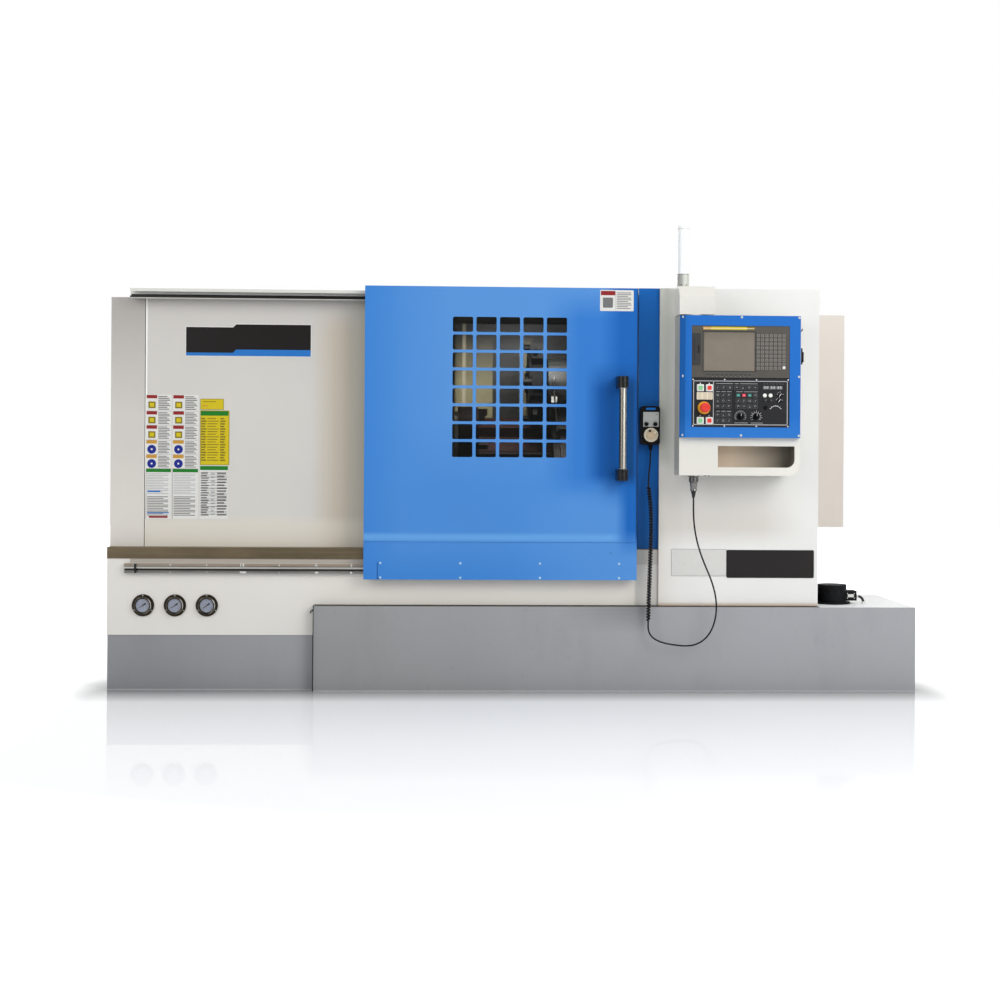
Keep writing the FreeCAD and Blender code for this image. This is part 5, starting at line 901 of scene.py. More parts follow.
def nurbsCurve(name, points, radius, finish=None):
    curve = bpy.data.curves.new(name, "CURVE")
    curve.dimensions = "3D"
    spline = curve.splines.new("NURBS")
    spline.points.add(len(points) - 1)
    flat = np.concatenate([np.array(points) * mm, np.ones((len(points), 1))], axis=1)
    spline.points.foreach_set("co", flat.ravel())
    spline.order_u = 3
    spline.use_endpoint_u = True
    spline.resolution_u = 12
    curve.bevel_depth = radius
    curve.bevel_resolution = 4
    curve.use_fill_caps = True
    if finish:
        curve.materials.append(finish)
    piece = bpy.data.objects.new(name, curve)
    bpy.context.scene.collection.objects.link(piece)
    return piece


def pointsAlong(piece):
    # the points of a bare curve, in order
    mesh = bpy.data.meshes.new_from_object(piece)
    points = np.zeros(len(mesh.vertices) * 3)
    mesh.vertices.foreach_get("co", points)
    return points.reshape(-1, 3)


def curlHelix():
    # centre line + radius * (cos, sin) square to it, the turns spread evenly; both ends leave from the axis
    guide = nurbsCurve("curlGuide", curlRoute, 0)
    line = pointsAlong(guide)
    bpy.data.objects.remove(guide)
    reach = np.concatenate([[0], np.cumsum(np.linalg.norm(np.diff(line, axis=0), axis=1))])
    turns = cordValues["curlTurns"]
    count = turns * cordValues["turnSteps"] + 1
    straight = 2 * cordValues["radius"]
    along = np.linspace(straight, reach[-1] - straight, count)
    centre = np.stack([np.interp(along, reach, line[:, axis]) for axis in range(3)], axis=1)
    way = np.gradient(centre, axis=0)
    way /= np.linalg.norm(way, axis=1)[:, None]
    side = np.array([1.0, 0, 0]) - way * way[:, :1]
    side /= np.linalg.norm(side, axis=1)[:, None]
    other = np.cross(way, side)
    share = np.linspace(0, 1, count)
    angle = 2 * np.pi * turns * share[:, None]
    grow = np.clip(np.minimum(share, 1 - share) * turns / cordValues["easeTurns"], 0, 1)[:, None]
    helix = centre + cordValues["curlRadius"] * grow * (np.cos(angle) * side + np.sin(angle) * other)
    return np.concatenate([line[:1], helix, line[-1:]]) / mm


def addCord():
    # upper lead, helix and lower lead are points of the same spline
    line = np.concatenate([np.array(upperRoute[:-1], float), curlHelix(), np.array(lowerRoute[1:], float)])
    cord = nurbsCurve("hand_unit_cord", line, cordValues["radius"], finishes["cord_black"])
    cord.data.splines[0].resolution_u = 4
    cord.data.bevel_resolution = 3
    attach(cord, "machine")
    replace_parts(cord, "hand_cord", "curly_cord")
    return cord


plugValues = {
    "place": (737.0, -795.0, 909.0),
    "ring": [(19, 0), (19.6, 1), (19.6, 5), (17.5, 6), (17.5, 9), (19.8, 10), (19.8, 27), (18.5, 29),
             (16, 30)],
    "barrel": [(15.5, 30), (15.5, 44), (14, 47), (13.6, 58), (14.8, 60), (14.8, 64), (12, 66), (6, 66)],
    "boot": [(9.5, 64), (10.5, 66), (10, 72), (8.2, 75), (8.6, 78), (7.2, 82), (6.9, 86), (5.6, 91),
             (5.2, 94), (3, 94)],
}


def addPlug():
    # a screwed metal plug: knurled ring, waisted barrel, clamp ring and a rubber boot on the cord
    ring, barrel, boot = (turned(plugValues[name], plugValues["place"], (0, 0, -1), 32)
                          for name in ("ring", "barrel", "boot"))
    shell = addPiece("plug_shell", inked(plugSteel, ring, barrel) + inked(finishes["rubber"], boot),
                     "pendant")
    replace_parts(shell, "cord_plug")
    return shell


handCord = addCord()
plugShell = addPlug()
print("cord laid")


# Front pieces: gauges, plates and fields, rail and skirt screws.

gaugeValues = {
    "centres": (-1547, -1415, -1283), "height": 352.0, "face": -680.0, "needleTurn": 56,
    "sweep": (-135, 135), "ticks": 19, "figures": "02468", "screwCircle": 41.5,
    "flange": [(46, 0), (46, 4), (45, 5.6), (42.5, 6.4), (40, 6.0), (37, 6.4), (36, 5)],
    "ring": [(38, 4), (38, 14), (37, 16.8), (34.6, 18), (31.6, 17.2), (29, 14.4), (27.4, 11), (27.4, 4)],
    "glass": [(27.6, 12.4), (27.6, 13.2), (18, 14.0), (0.5, 14.4)],
}


def addGauges():
    # each gauge: a flange with three screws, a turned ring, a printed dial under glass and a tapered needle
    parts = []
    z, face = gaugeValues["height"], gaugeValues["face"]
    dialFace = face - 11.5
    start, stop = gaugeValues["sweep"]
    for x in gaugeValues["centres"]:
        centre = (x, z)
        parts += [(turned(gaugeValues["flange"], (x, face, z), sides=48), gaugeSteel),
                  (turned(gaugeValues["ring"], (x, face, z), sides=48), gaugeRing),
                  (disc(centre, 27.6, dialFace, 6), dialBlue),
                  (turned(gaugeValues["glass"], (x, face, z), sides=36), gaugeGlass),
                  # a painted highlight: the ring's glint
                  (arcStrip(centre, 34.6, 1.4, 42, 112, face - 18.1, 0.4), fieldWhite),
                  (arcStrip(centre, 24, 0.6, start, stop, dialFace - 0.3), blackPrint),
                  (arcStrip(centre, 22.6, 1.0, 90, stop, dialFace - 0.3), redPrint)]
        for number, angle in enumerate(np.linspace(start, stop, gaugeValues["ticks"])):
            near = 20.5 if number % 3 == 0 else 22
            parts.append((tick(centre, angle, near, 24, 0.6, dialFace - 0.3), blackPrint))
        for figure, angle in zip(gaugeValues["figures"], np.linspace(start + 20, stop - 20, 5)):
            parts.append((numeral(figure, *around(centre, 16, angle), 3.8, dialFace - 0.3), blackPrint))
        needle = gaugeValues["needleTurn"]
        parts += [(tick(centre, needle + 180, -2, 19, 4.0, dialFace - 1.2, 0.6, 2.2), blackPrint),
                  (tick(centre, needle, -3, 16, 4.4, dialFace - 1.3, 0.6, 8.4), blackPrint),
                  (disc(centre, 3.2, dialFace - 1.6, 1.6), blackScrew)]
        for angle in (0, 120, 240):
            screwX, screwZ = around(centre, gaugeValues["screwCircle"], angle)
            parts.append((screwHead(screwX, face - 5.4, screwZ, 2.8), zincScrew))
    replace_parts(addPiece("oil_gauges", parts, "machine"), "pressure_gauges")


namePlateValues = {"left": -1385, "right": -863, "low": 1397, "high": 1530, "step": 13, "stepLeft": -1189,
                   "stepRight": -1176, "rim": 5, "footHigh": 1424, "footStep": 14}


def addNamePlate():
    # a dark plate with a raised right part, a white edge and a blue foot; its place for a name stays bare
    v = namePlateValues
    face = frontOf("left_front_panel", v["left"], v["low"])

    def outline(grow, low, high, step):
        left, right, top, shelf = v["left"] - grow, v["right"] + grow, high + grow, high - step + grow
        return [(left, low), (right, low), (right, top), (v["stepRight"] - grow * 0.4, top),
                (v["stepLeft"] - grow * 0.4, shelf), (left, shelf)]

    edge = outline(v["rim"], v["low"] - v["rim"], v["high"], v["step"])
    field = outline(0, v["low"], v["high"], v["step"])
    foot = outline(0, v["low"], v["footHigh"], v["footStep"])
    addPiece("name_plate", [(slab(edge, face - 1.2, 1.2, 0.3), plateWhite),
                            (slab(field, face - 1.6, 0.5, 0.1), blackPrint),
                            (slab(foot, face - 1.9, 0.4), bluePrint)], "machine")


def printLines(x0, x1, z0, z1, rows, face, finish, share=0.55):
    # rows of thin bars that stand for small print: each ends at 1 - 0.28 * (sine of the row) squared
    pitch = (z1 - z0) / rows
    parts = []
    for row in range(rows):
        top = z1 - row * pitch - pitch * (1 - share) / 2
        stop = x0 + (x1 - x0) * (1 - 0.28 * math.sin(row * 2.1 + rows) ** 2)
        parts.append((chip(x0, stop, top - pitch * share, top, face), finish))
    return parts


fieldValues = {"columns": ((-1550, -1444), (-1439, -1331)), "cellTops": (1230, 1162, 1102, 1040, 979),
               "foot": 920, "greenHeight": 14, "low": 710, "split": 0.46}


def addFieldSheets():
    # two tall sheets: five cells with a coloured bar and a plain square or disc, then a green bar over print
    v = fieldValues
    face = frontOf("left_front_panel", -1500, 1000)
    parts = []
    for x0, x1 in v["columns"]:
        middle = x0 + (x1 - x0) * v["split"]
        parts.append((plate(x0, x1, v["low"], v["cellTops"][0] + 2, face - 0.5, 0.5, 1.5, 0.1), fieldWhite))
        for cell, (top, bottom) in enumerate(zip(v["cellTops"], v["cellTops"][1:] + (v["foot"],))):
            bar, sign = (redPrint, mustardPrint) if cell < 3 else (amberPrint, deepBluePrint)
            signX, signZ = (x0 + middle) / 2, (top - 15 + bottom) / 2
            parts.append((chip(x0 + 2, middle - 3, top - 14, top, face - 0.8), bar))
            if cell < 3:
                for wide, high, lift, corner, tone in ((15, 14, 0.8, 2, sign), (9, 8, 1.0, 1, yellowPrint)):
                    parts.append((plate(signX - wide, signX + wide, signZ - high, signZ + high, face - lift,
                                        0.3, corner, 0.1), tone))
            else:
                parts.append((disc((signX, signZ), 18.5, face - 0.8), sign))
                parts.append((disc((signX, signZ), 4, face - 1.0), fieldWhite))
            parts += printLines(middle + 2, x1 - 4, bottom + 5, top - 3, 8, face - 0.8, fieldGrey)
            parts.append((chip(x0 + 2, x1 - 2, bottom + 0.6, bottom + 1.6, face - 0.8), fieldGrey))
        parts.append((chip(x0 + 1, x1 - 1, v["foot"] - v["greenHeight"], v["foot"], face - 0.8), greenPrint))
        parts.append((chip(x0 + 1, x0 + 2.5, v["low"] + 1, v["foot"], face - 0.8), fieldGrey))
        parts += printLines(x0 + 6, x1 - 5, 812, 902, 13, face - 0.8, palePrint, 0.4)
        parts += printLines(x0 + 6, x1 - 5, 722, 806, 12, face - 0.8, fieldGrey, 0.5)
    x0 = v["columns"][0][0]
    parts += [(chip(x0 + 8, x0 + 62, 822, 828, face - 1.0), bluePrint),
              (chip(x0 + 8, x0 + 98, 733, 737, face - 1.0), bluePrint),
              (chip(x0 + 14, x0 + 92, 714, 722, face - 1.0), redPrint)]
    addPiece("field_sheets", parts, "machine")


chartValues = {"x": (-1324, -1206), "top": 1216, "middle": 1167, "split": 934, "low": 710}


def addOilChart():
    # a yellow chart with a small field above it and a white one with green header below it
    v = chartValues
    x0, x1 = v["x"]
    face = frontOf("left_front_panel", x0, 1000)
    ink = face - 1.0
    parts = [(plate(x0, x1 - 20, v["middle"] + 3, v["top"], face - 0.5, 0.5, 1.5, 0.1), yellowPrint),
             (chip(x0 + 12, x0 + 66, 1202, 1205, ink), mustardPrint),
             (chip(x0 + 9, x0 + 32, 1184, 1189, ink), amberPrint),
             (plate(x0, x1 + 4, v["split"] + 3, v["middle"], face - 0.5, 0.5, 1.5, 0.1), yellowPrint),
             (chip(x0 + 2, x1, 1145, 1164, face - 0.8), greenPrint),
             (plate(x0, x1, v["low"], v["split"], face - 0.5, 0.5, 1.5, 0.1), fieldWhite),
             (chip(x0 + 1, x1 - 1, 916, 933, face - 0.8), greenPrint)]
    for right, low, top in ((x1 - 20.6, v["middle"], v["top"]), (x1 + 3.4, v["split"], v["middle"])):
        parts.append((frameStrip(x0 + 0.6, right, low + 3.6, top - 0.6, ink, 0.3, 1.6, 1.5), mustardPrint))
    for start, stop, share in ((4, 26, 0.55), (30, 78, 0.3), (84, 106, 0.55)):
        parts += printLines(x0 + start, x0 + stop, 952, 1138, 17, ink, mustardPrint, share)
    for lineZ in range(730, 908, 11):
        parts.append((chip(x0 + 2, x0 + 116, lineZ, lineZ + 1.2, ink), fieldGrey))
    for start, stop, rows, tone, share in ((5, 38, 18, fieldGrey, 0.55), (46, 64, 12, palePrint, 0.4),
                                           (72, 114, 15, fieldGrey, 0.55)):
        parts += printLines(x0 + start, x0 + stop, 722, 908, rows, ink, tone, share)
    for row in range(1, 8):
        parts.append((chip(x0 + 2, x1 - 2, 710 + row * 25.5, 711 + row * 25.5, ink), fieldGrey))
    addPiece("oil_chart", parts, "machine")


doorPlateValues = {"x": (348, 489), "z": (1592, 1680), "bar": (351, 412, 1658, 1676)}
cabinetPlateValues = {"white": (662, 896, 482, 596), "black": (896, 1269, 475, 593)}


def addPlates():
    # bare plates: one on the door, a white and a black one low on the right cabinet
    x0, x1 = doorPlateValues["x"]
    z0, z1 = doorPlateValues["z"]
    face = frontOf("door_panel", x0 + 5, z0 + 5)
    bar = doorPlateValues["bar"]
    parts = [(plate(x0, x1, z0, z1, face - 0.8, 0.8, 4, 0.2), fieldWhite),
             (plate(bar[0] + 0.5, bar[1], bar[2], bar[3], face - 1.1, 0.3, 1, 0.1), redPrint),
             (chip(bar[1] + 2, bar[1] + 3, z0 + 4, z1 - 4, face - 1.1), fieldGrey),
             (plate(x0 + 12, bar[1] - 10, z0 + 14, bar[2] - 10, face - 1.1, 0.3, 4, 0.1), greyPrint)]
    parts += printLines(bar[1] + 7, x1 - 6, z0 + 8, z1 - 8, 10, face - 1.1, fieldGrey, 0.45)
    addPiece("door_plate", parts, "door")
    x0, x1, z0, z1 = cabinetPlateValues["white"]
    face = frontOf("right_front_cabinet", x0, z0)
    low = cabinetPlateValues["black"]
    addPiece("cabinet_plates", [
        (plate(x0, x1 + 4, z0, z1, face - 1.2, 1.2, 4, 0.3), plateWhite),
        (frameStrip(x0, x1, z0, z1, face - 1.6, 0.4, 1.2, 4), fieldGrey),
        (plate(*low, face - 1.8, 1.8, 6, 0.3), blackPrint)], "machine")


railScrewValues = {"start": -1583, "pitch": 150.2, "count": 15, "upper": 521.5, "lower": 491.5,
                   "radius": 3.4, "end": 500, "clamps": ((-1129, 10), (-1141, 4), (-826, 6), (-683, 5))}


def addRailScrews():
    # screws along the lower rail, four clamps to the left of the door and a stop at the left end
    v = railScrewValues
    parts = []
    for number in range(v["count"]):
        x = v["start"] + number * v["pitch"]
        for z, radius in ((v["upper"], v["radius"]), (v["lower"], v["radius"] * 0.8)):
            if x < v["end"]:
                parts += screwsOn("door_rails", [(x, z)], radius, zincScrew)
    face = frontOf("door_rails", v["clamps"][0][0], v["lower"])
    for x, half in v["clamps"]:
        rail = frontOf("door_rails", x, v["upper"])
        parts += inked(zincScrew, plate(x - half, x + half, 488, 496, face - 3, 3.5, 1.5, 0.5),
                       plate(x - 1.8, x + 1.8, 512, 530, rail - 2, 2.5, 1, 0.4))
    stop = frontOf("door_rails", -1576, v["upper"])
    parts.append((plate(-1581, -1572, 488, 527, stop - 7, 7.5, 1.5, 0.6), blackScrew))
    addPiece("rail_screws", parts, "machine")


skirtValues = {"columns": (-561, -228.5, 104, 435.5), "rows": (535.5, 475.5), "radius": 5.2,
               "single": (399, 580)}


def addSkirtScrews():
    # four columns of screws in the door's skirt, and a small bracket edge at the left one
    v = skirtValues
    parts = screwsOn("door_skirt", [(x, z) for x in v["columns"] for z in v["rows"]], v["radius"], blueScrew)
    left, top = v["columns"][0] - 12, v["rows"][0]
    face = frontOf("door_skirt", left, top)
    for right, start, low, high in ((1, -1, 469, top + 1), (9, 0, top - 1, top + 1), (9, 0, 469, 471)):
        parts += inked(finishes["paint_blue_dark"],
                       chip(left + start, left + right, low, high, face - 1.2, 1.4))
    parts += screwsOn("door_skirt", [v["single"]], 2.2, blackScrew)
    addPiece("skirt_screws", parts, "door")


handleValues = {"x": 440, "brackets": (908, 1293), "rings": (932, 1266), "middle": 1100, "behind": 60,
                "ring": [(15.9, 0), (16.4, 0.6), (16.4, 2.4), (15.9, 3)]}


def addHandleScrews():
    # cap screws in the handle's two brackets, and an end ring at each end of its tube, whose middle lies
    # between its front and its back
    v = handleValues
    x = v["x"]
    parts = []
    for z in v["brackets"]:
        face = frontOf("door_handle", x, z)
        parts.append((screwHead(x, face, z, 6.5, 3), blackScrew))
        parts.append((frameStrip(x - 16, x + 16, z - 17, z + 17, face - 0.4, 0.6, 1.2, 6), slotDark))
    front = frontOf("door_handle", x, v["middle"])
    back = touch("door_handle", (x, front + v["behind"], v["middle"]), (0, -1, 0))[1]
    for z in v["rings"]:
        parts += inked(finishes["chrome"], turned(v["ring"], (x, (front + back) / 2, z), (0, 0, 1), 32))
    addPiece("handle_screws", parts, "door")


for addFront in (addGauges, addNamePlate, addFieldSheets, addOilChart, addPlates, addRailScrews,
                 addSkirtScrews, addHandleScrews):
    addFront()
print("front pieces added")


# The pendant: screws, panel, display, buttons, knobs.

pendantFace = -878.0           # the front of its display and panel, in millimetres
bezelValues = {"columns": (678, 918, 1157), "rows": (1074.5, 1317, 1560), "radius": 5.2,
               "panelColumns": (718.5, 849, 981, 1111.5), "panelRows": (1303.5, 1112.5), "panelRadius": 3.4}


def addBezelScrews():
    # eight screws round the bezel, four along the panel's top and four along its foot
    v = bezelValues
    places = [(x, z) for z in v["rows"] for x in v["columns"] if (x, z) != (v["columns"][1], v["rows"][1])]
    parts = screwsOn("pendant_bezel", places, v["radius"], zincScrew, 0.2)
    for x in v["panelColumns"]:
        for z in v["panelRows"]:
            parts.append((screwHead(x, pendantFace, z, v["panelRadius"]), zincScrew))
    addPiece("bezel_screws", parts, "pendant")


keyValues = {
    # groups: left, pitch and width, then low, rise and height, then columns and rows
    "groups": ((809.0, 25.4, 22.4, 1261.0, 0, 20, 3, 1), (888.0, 25.6, 22.6, 1261.0, 0, 20, 4, 1),
               (810.3, 23.4, 20.4, 1185.0, 22.6, 18.6, 3, 3), (895.3, 23.6, 20.6, 1185.0, 22.6, 18.6, 4, 3),
               (810.3, 23.4, 20.4, 1125.0, 23.8, 19.8, 3, 2)),
    # lit: group, row and column
    "lit": {(3, 2, 0): keyTeal, (3, 2, 1): keyRed, (3, 2, 2): keyTeal},
    "face": -879.5,
}


def glyph(kind, x, z, face):
    # small plain marks for the keys: slanted bars, short bars, a ring, a square, two dots
    if kind == 0:
        return [tick((x, z), 40, -4.5, 4.5, 1.3, face)]
    if kind == 1:
        return [tick((x, z), -40, -4, 4, 1.1, face), chip(x - 4, x + 4, z - 5, z - 4, face)]
    if kind == 2:
        return [chip(x - 4, x + 4, z + 2, z + 3.2, face), chip(x - 4, x + 1, z - 2.5, z - 1.3, face)]
    if kind == 3:
        return [arcStrip((x, z), 3.4, 1.1, -150, 150, face, steps=12)]
    if kind == 4:
        return [frameStrip(x - 3.6, x + 3.6, z - 3.6, z + 3.6, face, 0.3, 1.0, 0.8)]
    return [tick((x, z), 90, -5, 5, 1.0, face), tick((x, z), 0, -1, 4, 1.2, face)]


def addPanelKeys():
    # an edge and a mark on each flat key, and a coloured cap with a bar on the three lit ones
    face = keyValues["face"]
    parts = []
    for group, (left, pitch, width, low, rise, height, columns, rows) in enumerate(keyValues["groups"]):
        for row in range(rows):
            for column in range(columns):
                x0, z0 = left + column * pitch, low + row * rise
                x, z = x0 + width / 2, z0 + height / 2
                lit = keyValues["lit"].get((group, row, column))
                if lit:
                    parts.append((plate(x - 7.5, x + 7.5, z - 6, z + 6, face - 0.4, 0.5, 1.5, 0.2), lit))
                    parts.append((chip(x - 2.5, x + 2.5, z - 0.8, z + 0.8, face - 0.6, 0.2), whitePrint))
                    continue
                parts.append((frameStrip(x0 + 0.6, x0 + width - 0.6, z0 + 0.6, z0 + height - 0.6,
                                         face - 0.15, 0.2, 0.5, 2), greyPrint))
                kind = (group * 5 + row * 3 + column * 2) % 6
                parts += inked(palePrint, *glyph(kind, x, z, face - 0.25))
    addPiece("panel_keys", parts, "pendant")


panelValues = {
    "border": (719.5, 1110.5, 1117, 1299), "borderWidth": 3.2, "separator": 803.0,
    "bars": ((813.5, 884, 1287), (890.6, 908, 1287), (913.6, 985, 1287), (813.7, 831, 1254),
             (836, 854, 1254), (859, 876.7, 1254), (898, 924, 1254), (930, 985, 1254), (814, 831, 1173.5),
             (836, 854, 1173.5), (859, 877, 1173.5), (890, 946, 1126), (958, 1008, 1126)),
    "buttonMarks": ((749, 1287, True), (786, 1287, True), (749, 1154, False), (786, 1154, False)),
    "buttons": ((749, 1269), (786, 1269), (749, 1134.5), (786, 1134.5)), "buttonHalf": 14.5,
    "strip": (734, 800, 1221, 1251), "stop": (764.6, 1187), "knobs": ((915, 1152), (981, 1152)),
    "digits": (1006.7, 1093.7, 1263.5, 1280), "roundButtons": ((1015.4, 1239.4), (1039.3, 1239.6)),
    "dimKeys": ((1017, 1218), (1041, 1218)), "rotaries": ((1079, 1241.5), (1075, 1218)),
    "blackButton": (1018.5, 1189), "bigArc": (1060.6, 1172),
    "roundShape": [(8.2, 0), (8.2, 1.2), (7.4, 1.8), (6.8, 1.8), (6.6, 3.6), (5.8, 4.2), (0.5, 4.3)],
    "dimShape": [(7.5, 0), (7.5, 1.4), (6.6, 1.9), (0.5, 1.9)],
    "rotaryShape": [(10, 0), (10, 2), (8.6, 3), (8.4, 5.4), (7.6, 6), (0.5, 6)],
    "blackShape": [(8.5, 0), (8.5, 1.5), (7.5, 2.2), (7.2, 5), (6.4, 5.6), (0.5, 5.6)],
}


def addPanelPrint():
    # the panel's print: border and separator, bars over the key groups, button surrounds, ring and scales
    v = panelValues
    face = pendantFace
    ink = face - 0.3
    x0, x1, z0, z1 = v["border"]
    parts = [(frameStrip(x0, x1, z0, z1, ink, 0.3, v["borderWidth"], 4), palePrint),
             (chip(v["separator"] - 1.6, v["separator"] + 1.6, z0, z1, ink), palePrint),
             (plate(*v["strip"], face - 0.5, 0.5, 3, 0.2), creamPrint),
             (disc(v["stop"], 26, face - 0.9, 0.9, 40), signalYellow),
             (arcStrip(v["stop"], 24.6, 1.0, -180, 179, face - 1.1, steps=40), amberPrint)]
    for x, stop, z in v["bars"]:
        parts.append((chip(x, stop, z - 0.9, z + 0.9, ink), palePrint))
    for x, z, bright in v["buttonMarks"]:
        parts.append((disc((x - 0.5, z), 2.6, ink), whitePrint if bright else palePrint))
    half = v["buttonHalf"]
    for x, z in v["buttons"]:
        parts.append((frameStrip(x - half, x + half, z - half, z + half, face - 0.8, 0.8, 1.4, 3),
                      whitePrint))
    left, _, low, _ = v["strip"]
    for column in range(3):
        for row in range(2):
            x, z = left + 11 + column * 22, low + 8.5 + row * 13
            parts.append((frameStrip(x - 7, x + 7, z - 4.5, z + 4.5, face - 0.7, 0.25, 0.7, 1.5), fieldGrey))
            parts.append((chip(x - 2.5, x + 2.5, z - 0.7, z + 0.7, face - 0.7), greyPrint))
    first, second = v["knobs"]
    parts += [(arcStrip(first, 17.5, 1.0, -140, 140, ink), greyPrint),
              (arcStrip(first, 23, 1.2, -120, 120, ink), palePrint),
              (arcStrip(second, 16.5, 1.4, -100, 150, ink), palePrint)]
    for angle in range(-125, 126, 25):
        parts.append((tick(first, angle, 19, 22, 0.9, ink), palePrint))
        parts.append((tick(second, angle, 18, 23 if angle % 50 else 25.5, 1.1, ink), whitePrint))
    x0, x1, z0, z1 = v["digits"]
    for group in range(3):
        start = x0 + 2 + group * (x1 - x0 - 4) / 3
        parts.append((plate(start, start + 25, z0 + 1.5, z1 - 1.5, face + 0.9, 1.2, 1, 0.1), greyPrint))
        for x in (start + 7, start + 17.5):
            parts.append((numeral("0", x, (z0 + z1) / 2, 9.5, face + 0.6), whitePrint))
    for number in range(7):
        parts.append((chip(1010 + number * 13, 1016 + number * 13, 1286.4, 1288, ink), greyPrint))
    black = finishes["black_plastic"]
    for x, z in v["roundButtons"]:
        parts.append((turned(v["roundShape"], (x, face, z), sides=28), whitePlastic))
    for x, z in v["dimKeys"]:
        parts.append((turned(v["dimShape"], (x, face, z), sides=24), blackScrew))
        parts.append((chip(x - 2, x + 2, z - 0.5, z + 0.5, face - 2.1, 0.2), palePrint))
    for x, z in v["rotaries"]:
        parts.append((turned(v["rotaryShape"], (x, face, z), sides=28), black))
        parts.append((tick((x, z), 35, -7.5, 7.5, 2.2, face - 6.4, 0.5), whitePrint))
        for angle in (-70, -35, 0, 75):
            parts.append((tick((x, z), angle, 10.8, 14, 1.6, ink), whitePrint))
    x, z = v["blackButton"]
    parts.append((turned(v["blackShape"], (x, face, z), sides=28), black))
    parts.append((arcStrip(v["bigArc"], 24.5, 1.5, -62, 62, ink), whitePrint))
    for angle in range(-60, 61, 20):
        parts.append((tick(v["bigArc"], angle, 25, 28.5, 1.2, ink), whitePrint))
    addPiece("panel_print", parts, "pendant")


def addButtonLenses():
    # a coloured lens in each white button, and a pointer line on each override knob
    for number, (x, z) in enumerate(panelValues["buttons"], 1):
        face = frontOf(f"push_button_{number}", x, z)
        slot = "button_green" if number in (1, 3) else "button_red"
        lens = plate(x - 9, x + 9, z - 9, z + 9, face - 0.9, 1.0, 2.5, 0.4)
        addPiece(f"button_lens_{number}", [(lens, finishes[slot])], f"button_{number}")
        nodes[f"push_button_{number}"].data.materials[0] = whitePlastic
    for number, (x, z) in enumerate(panelValues["knobs"], 1):
        face = frontOf(f"override_knob_{number}", x, z + 9)
        line = chip(x - 0.8, x + 0.8, z + 3, z + 12, face - 0.3, 0.4)
        addPiece(f"knob_pointer_{number}", [(line, whitePrint)], f"override_knob_{number}")


displayValues = {"screen": (762, 974, 1339, 1499), "strip": (759, 972, 1508, 1520),
                 "slot": (714.5, 749, 1362, 1493), "keys": (980, 1345), "keyPitch": (17.8, 16.7),
                 "keySize": (13.5, 12.5), "columns": 7, "rows": 9, "keyEdge": -880.15, "keyInk": -880.25,
                 "softKeys": (772.5, 1319.5, 19.3, 13, 8), "softCount": 10, "pad": "789456123",
                 "square": (1094, 1354.5)}


def addDisplayPrint():
    # the screen's glass, a coloured strip above it, a card slot cover, and marks on the keys
    v = displayValues
    face = pendantFace
    x0, x1, z0, z1 = v["screen"]
    parts = [(plate(x0 + 0.4, x1 - 0.4, z0 + 0.4, z1 - 0.4, face + 2.2, 1.6, 2, 0.3), screenGlass),
             (frameStrip(x0 - 5, x1 + 5, z0 - 4, z1 + 4, face - 0.3, 0.3, 3, 3), plateDark)]
    left, right, low, high = v["strip"]
    parts += [(chip(left, left + 33, low, high, face - 0.4, 0.4), amberPrint),
              (chip(left + 33, right - 32, low, high, face - 0.4, 0.4), yellowPrint),
              (chip(right - 32, right, low, high, face - 0.4, 0.4), mustardPrint),
              (chip(left + 2, right - 2, low + 4.5, low + 7, face - 0.6), creamPrint)]
    left, right, low, high = v["slot"]
    parts += [(plate(left, right, low, high, face - 1.4, 1.4, 3, 0.4), plateDark),
              (chip(left + 8, left + 10, low + 20, high - 20, face - 1.6), slotDark),
              (plate(left + 22, left + 30, low + 50, high - 50, face - 1.9, 0.6, 2, 0.3), blackPrint)]
    startX, startZ = v["keys"]
    ink = v["keyInk"]
    for row in range(v["rows"]):
        for column in range(v["columns"]):
            x = startX + column * v["keyPitch"][0] + v["keySize"][0] / 2
            z = startZ + row * v["keyPitch"][1] + v["keySize"][1] / 2
            parts.append((frameStrip(x - 6, x + 6, z - 5.5, z + 5.5, v["keyEdge"], 0.2, 0.5, 1.2),
                          greyPrint))
            if 2 <= column <= 4 and 5 <= row <= 7:
                figure = v["pad"][(7 - row) * 3 + column - 2]
                parts.append((numeral(figure, x, z, 6, ink), blackPrint))
            else:
                width = 2.2 + 1.4 * math.sin(row * 1.7 + column * 2.3) ** 2
                parts += inked(blackPrint, chip(x - width, x + width, z - 0.2, z + 1.2, ink),
                               chip(x - width * 0.6, x + width * 0.6, z - 2.6, z - 1.8, ink))
    x, z = v["square"]
    parts.append((plate(x - 5.5, x + 5.5, z - 5, z + 5, -880.5, 0.7, 1, 0.2), whitePrint))
    startX, low, pitch, width, height = v["softKeys"]
    for number in range(v["softCount"]):
        x = startX + number * pitch
        middle = x + width / 2
        keyFace = frontOf("display_unit", middle, low + height / 2)
        parts.append((plate(x + 0.8, x + width - 0.8, low + 0.8, low + height - 0.8, keyFace - 0.5,
                            0.6, 1, 0.2), plateDark))
        parts.append((tick((middle, low - 3.4), 0, -1.2, 1.4, 2.4, face - 0.2, 0.2, 0.3), palePrint))
    addPiece("display_print", parts, "pendant")


sideValues = {
    "latch": (-815, -790, 1372, 1440), "hook": (-800, 1515), "socket": (737, -795), "socketLift": 3,
    "socketShape": [(27, 0), (27, 2.4), (26, 3.4), (21.5, 3.4), (21.5, 0)],
    "screwShape": [(3.4, 0), (3.4, 2), (2.6, 3.4), (0.5, 3.6)],
    "socketScrews": ((716, -795), (758, -795)), "housingScrews": ((784, -800), (800, -800)),
}


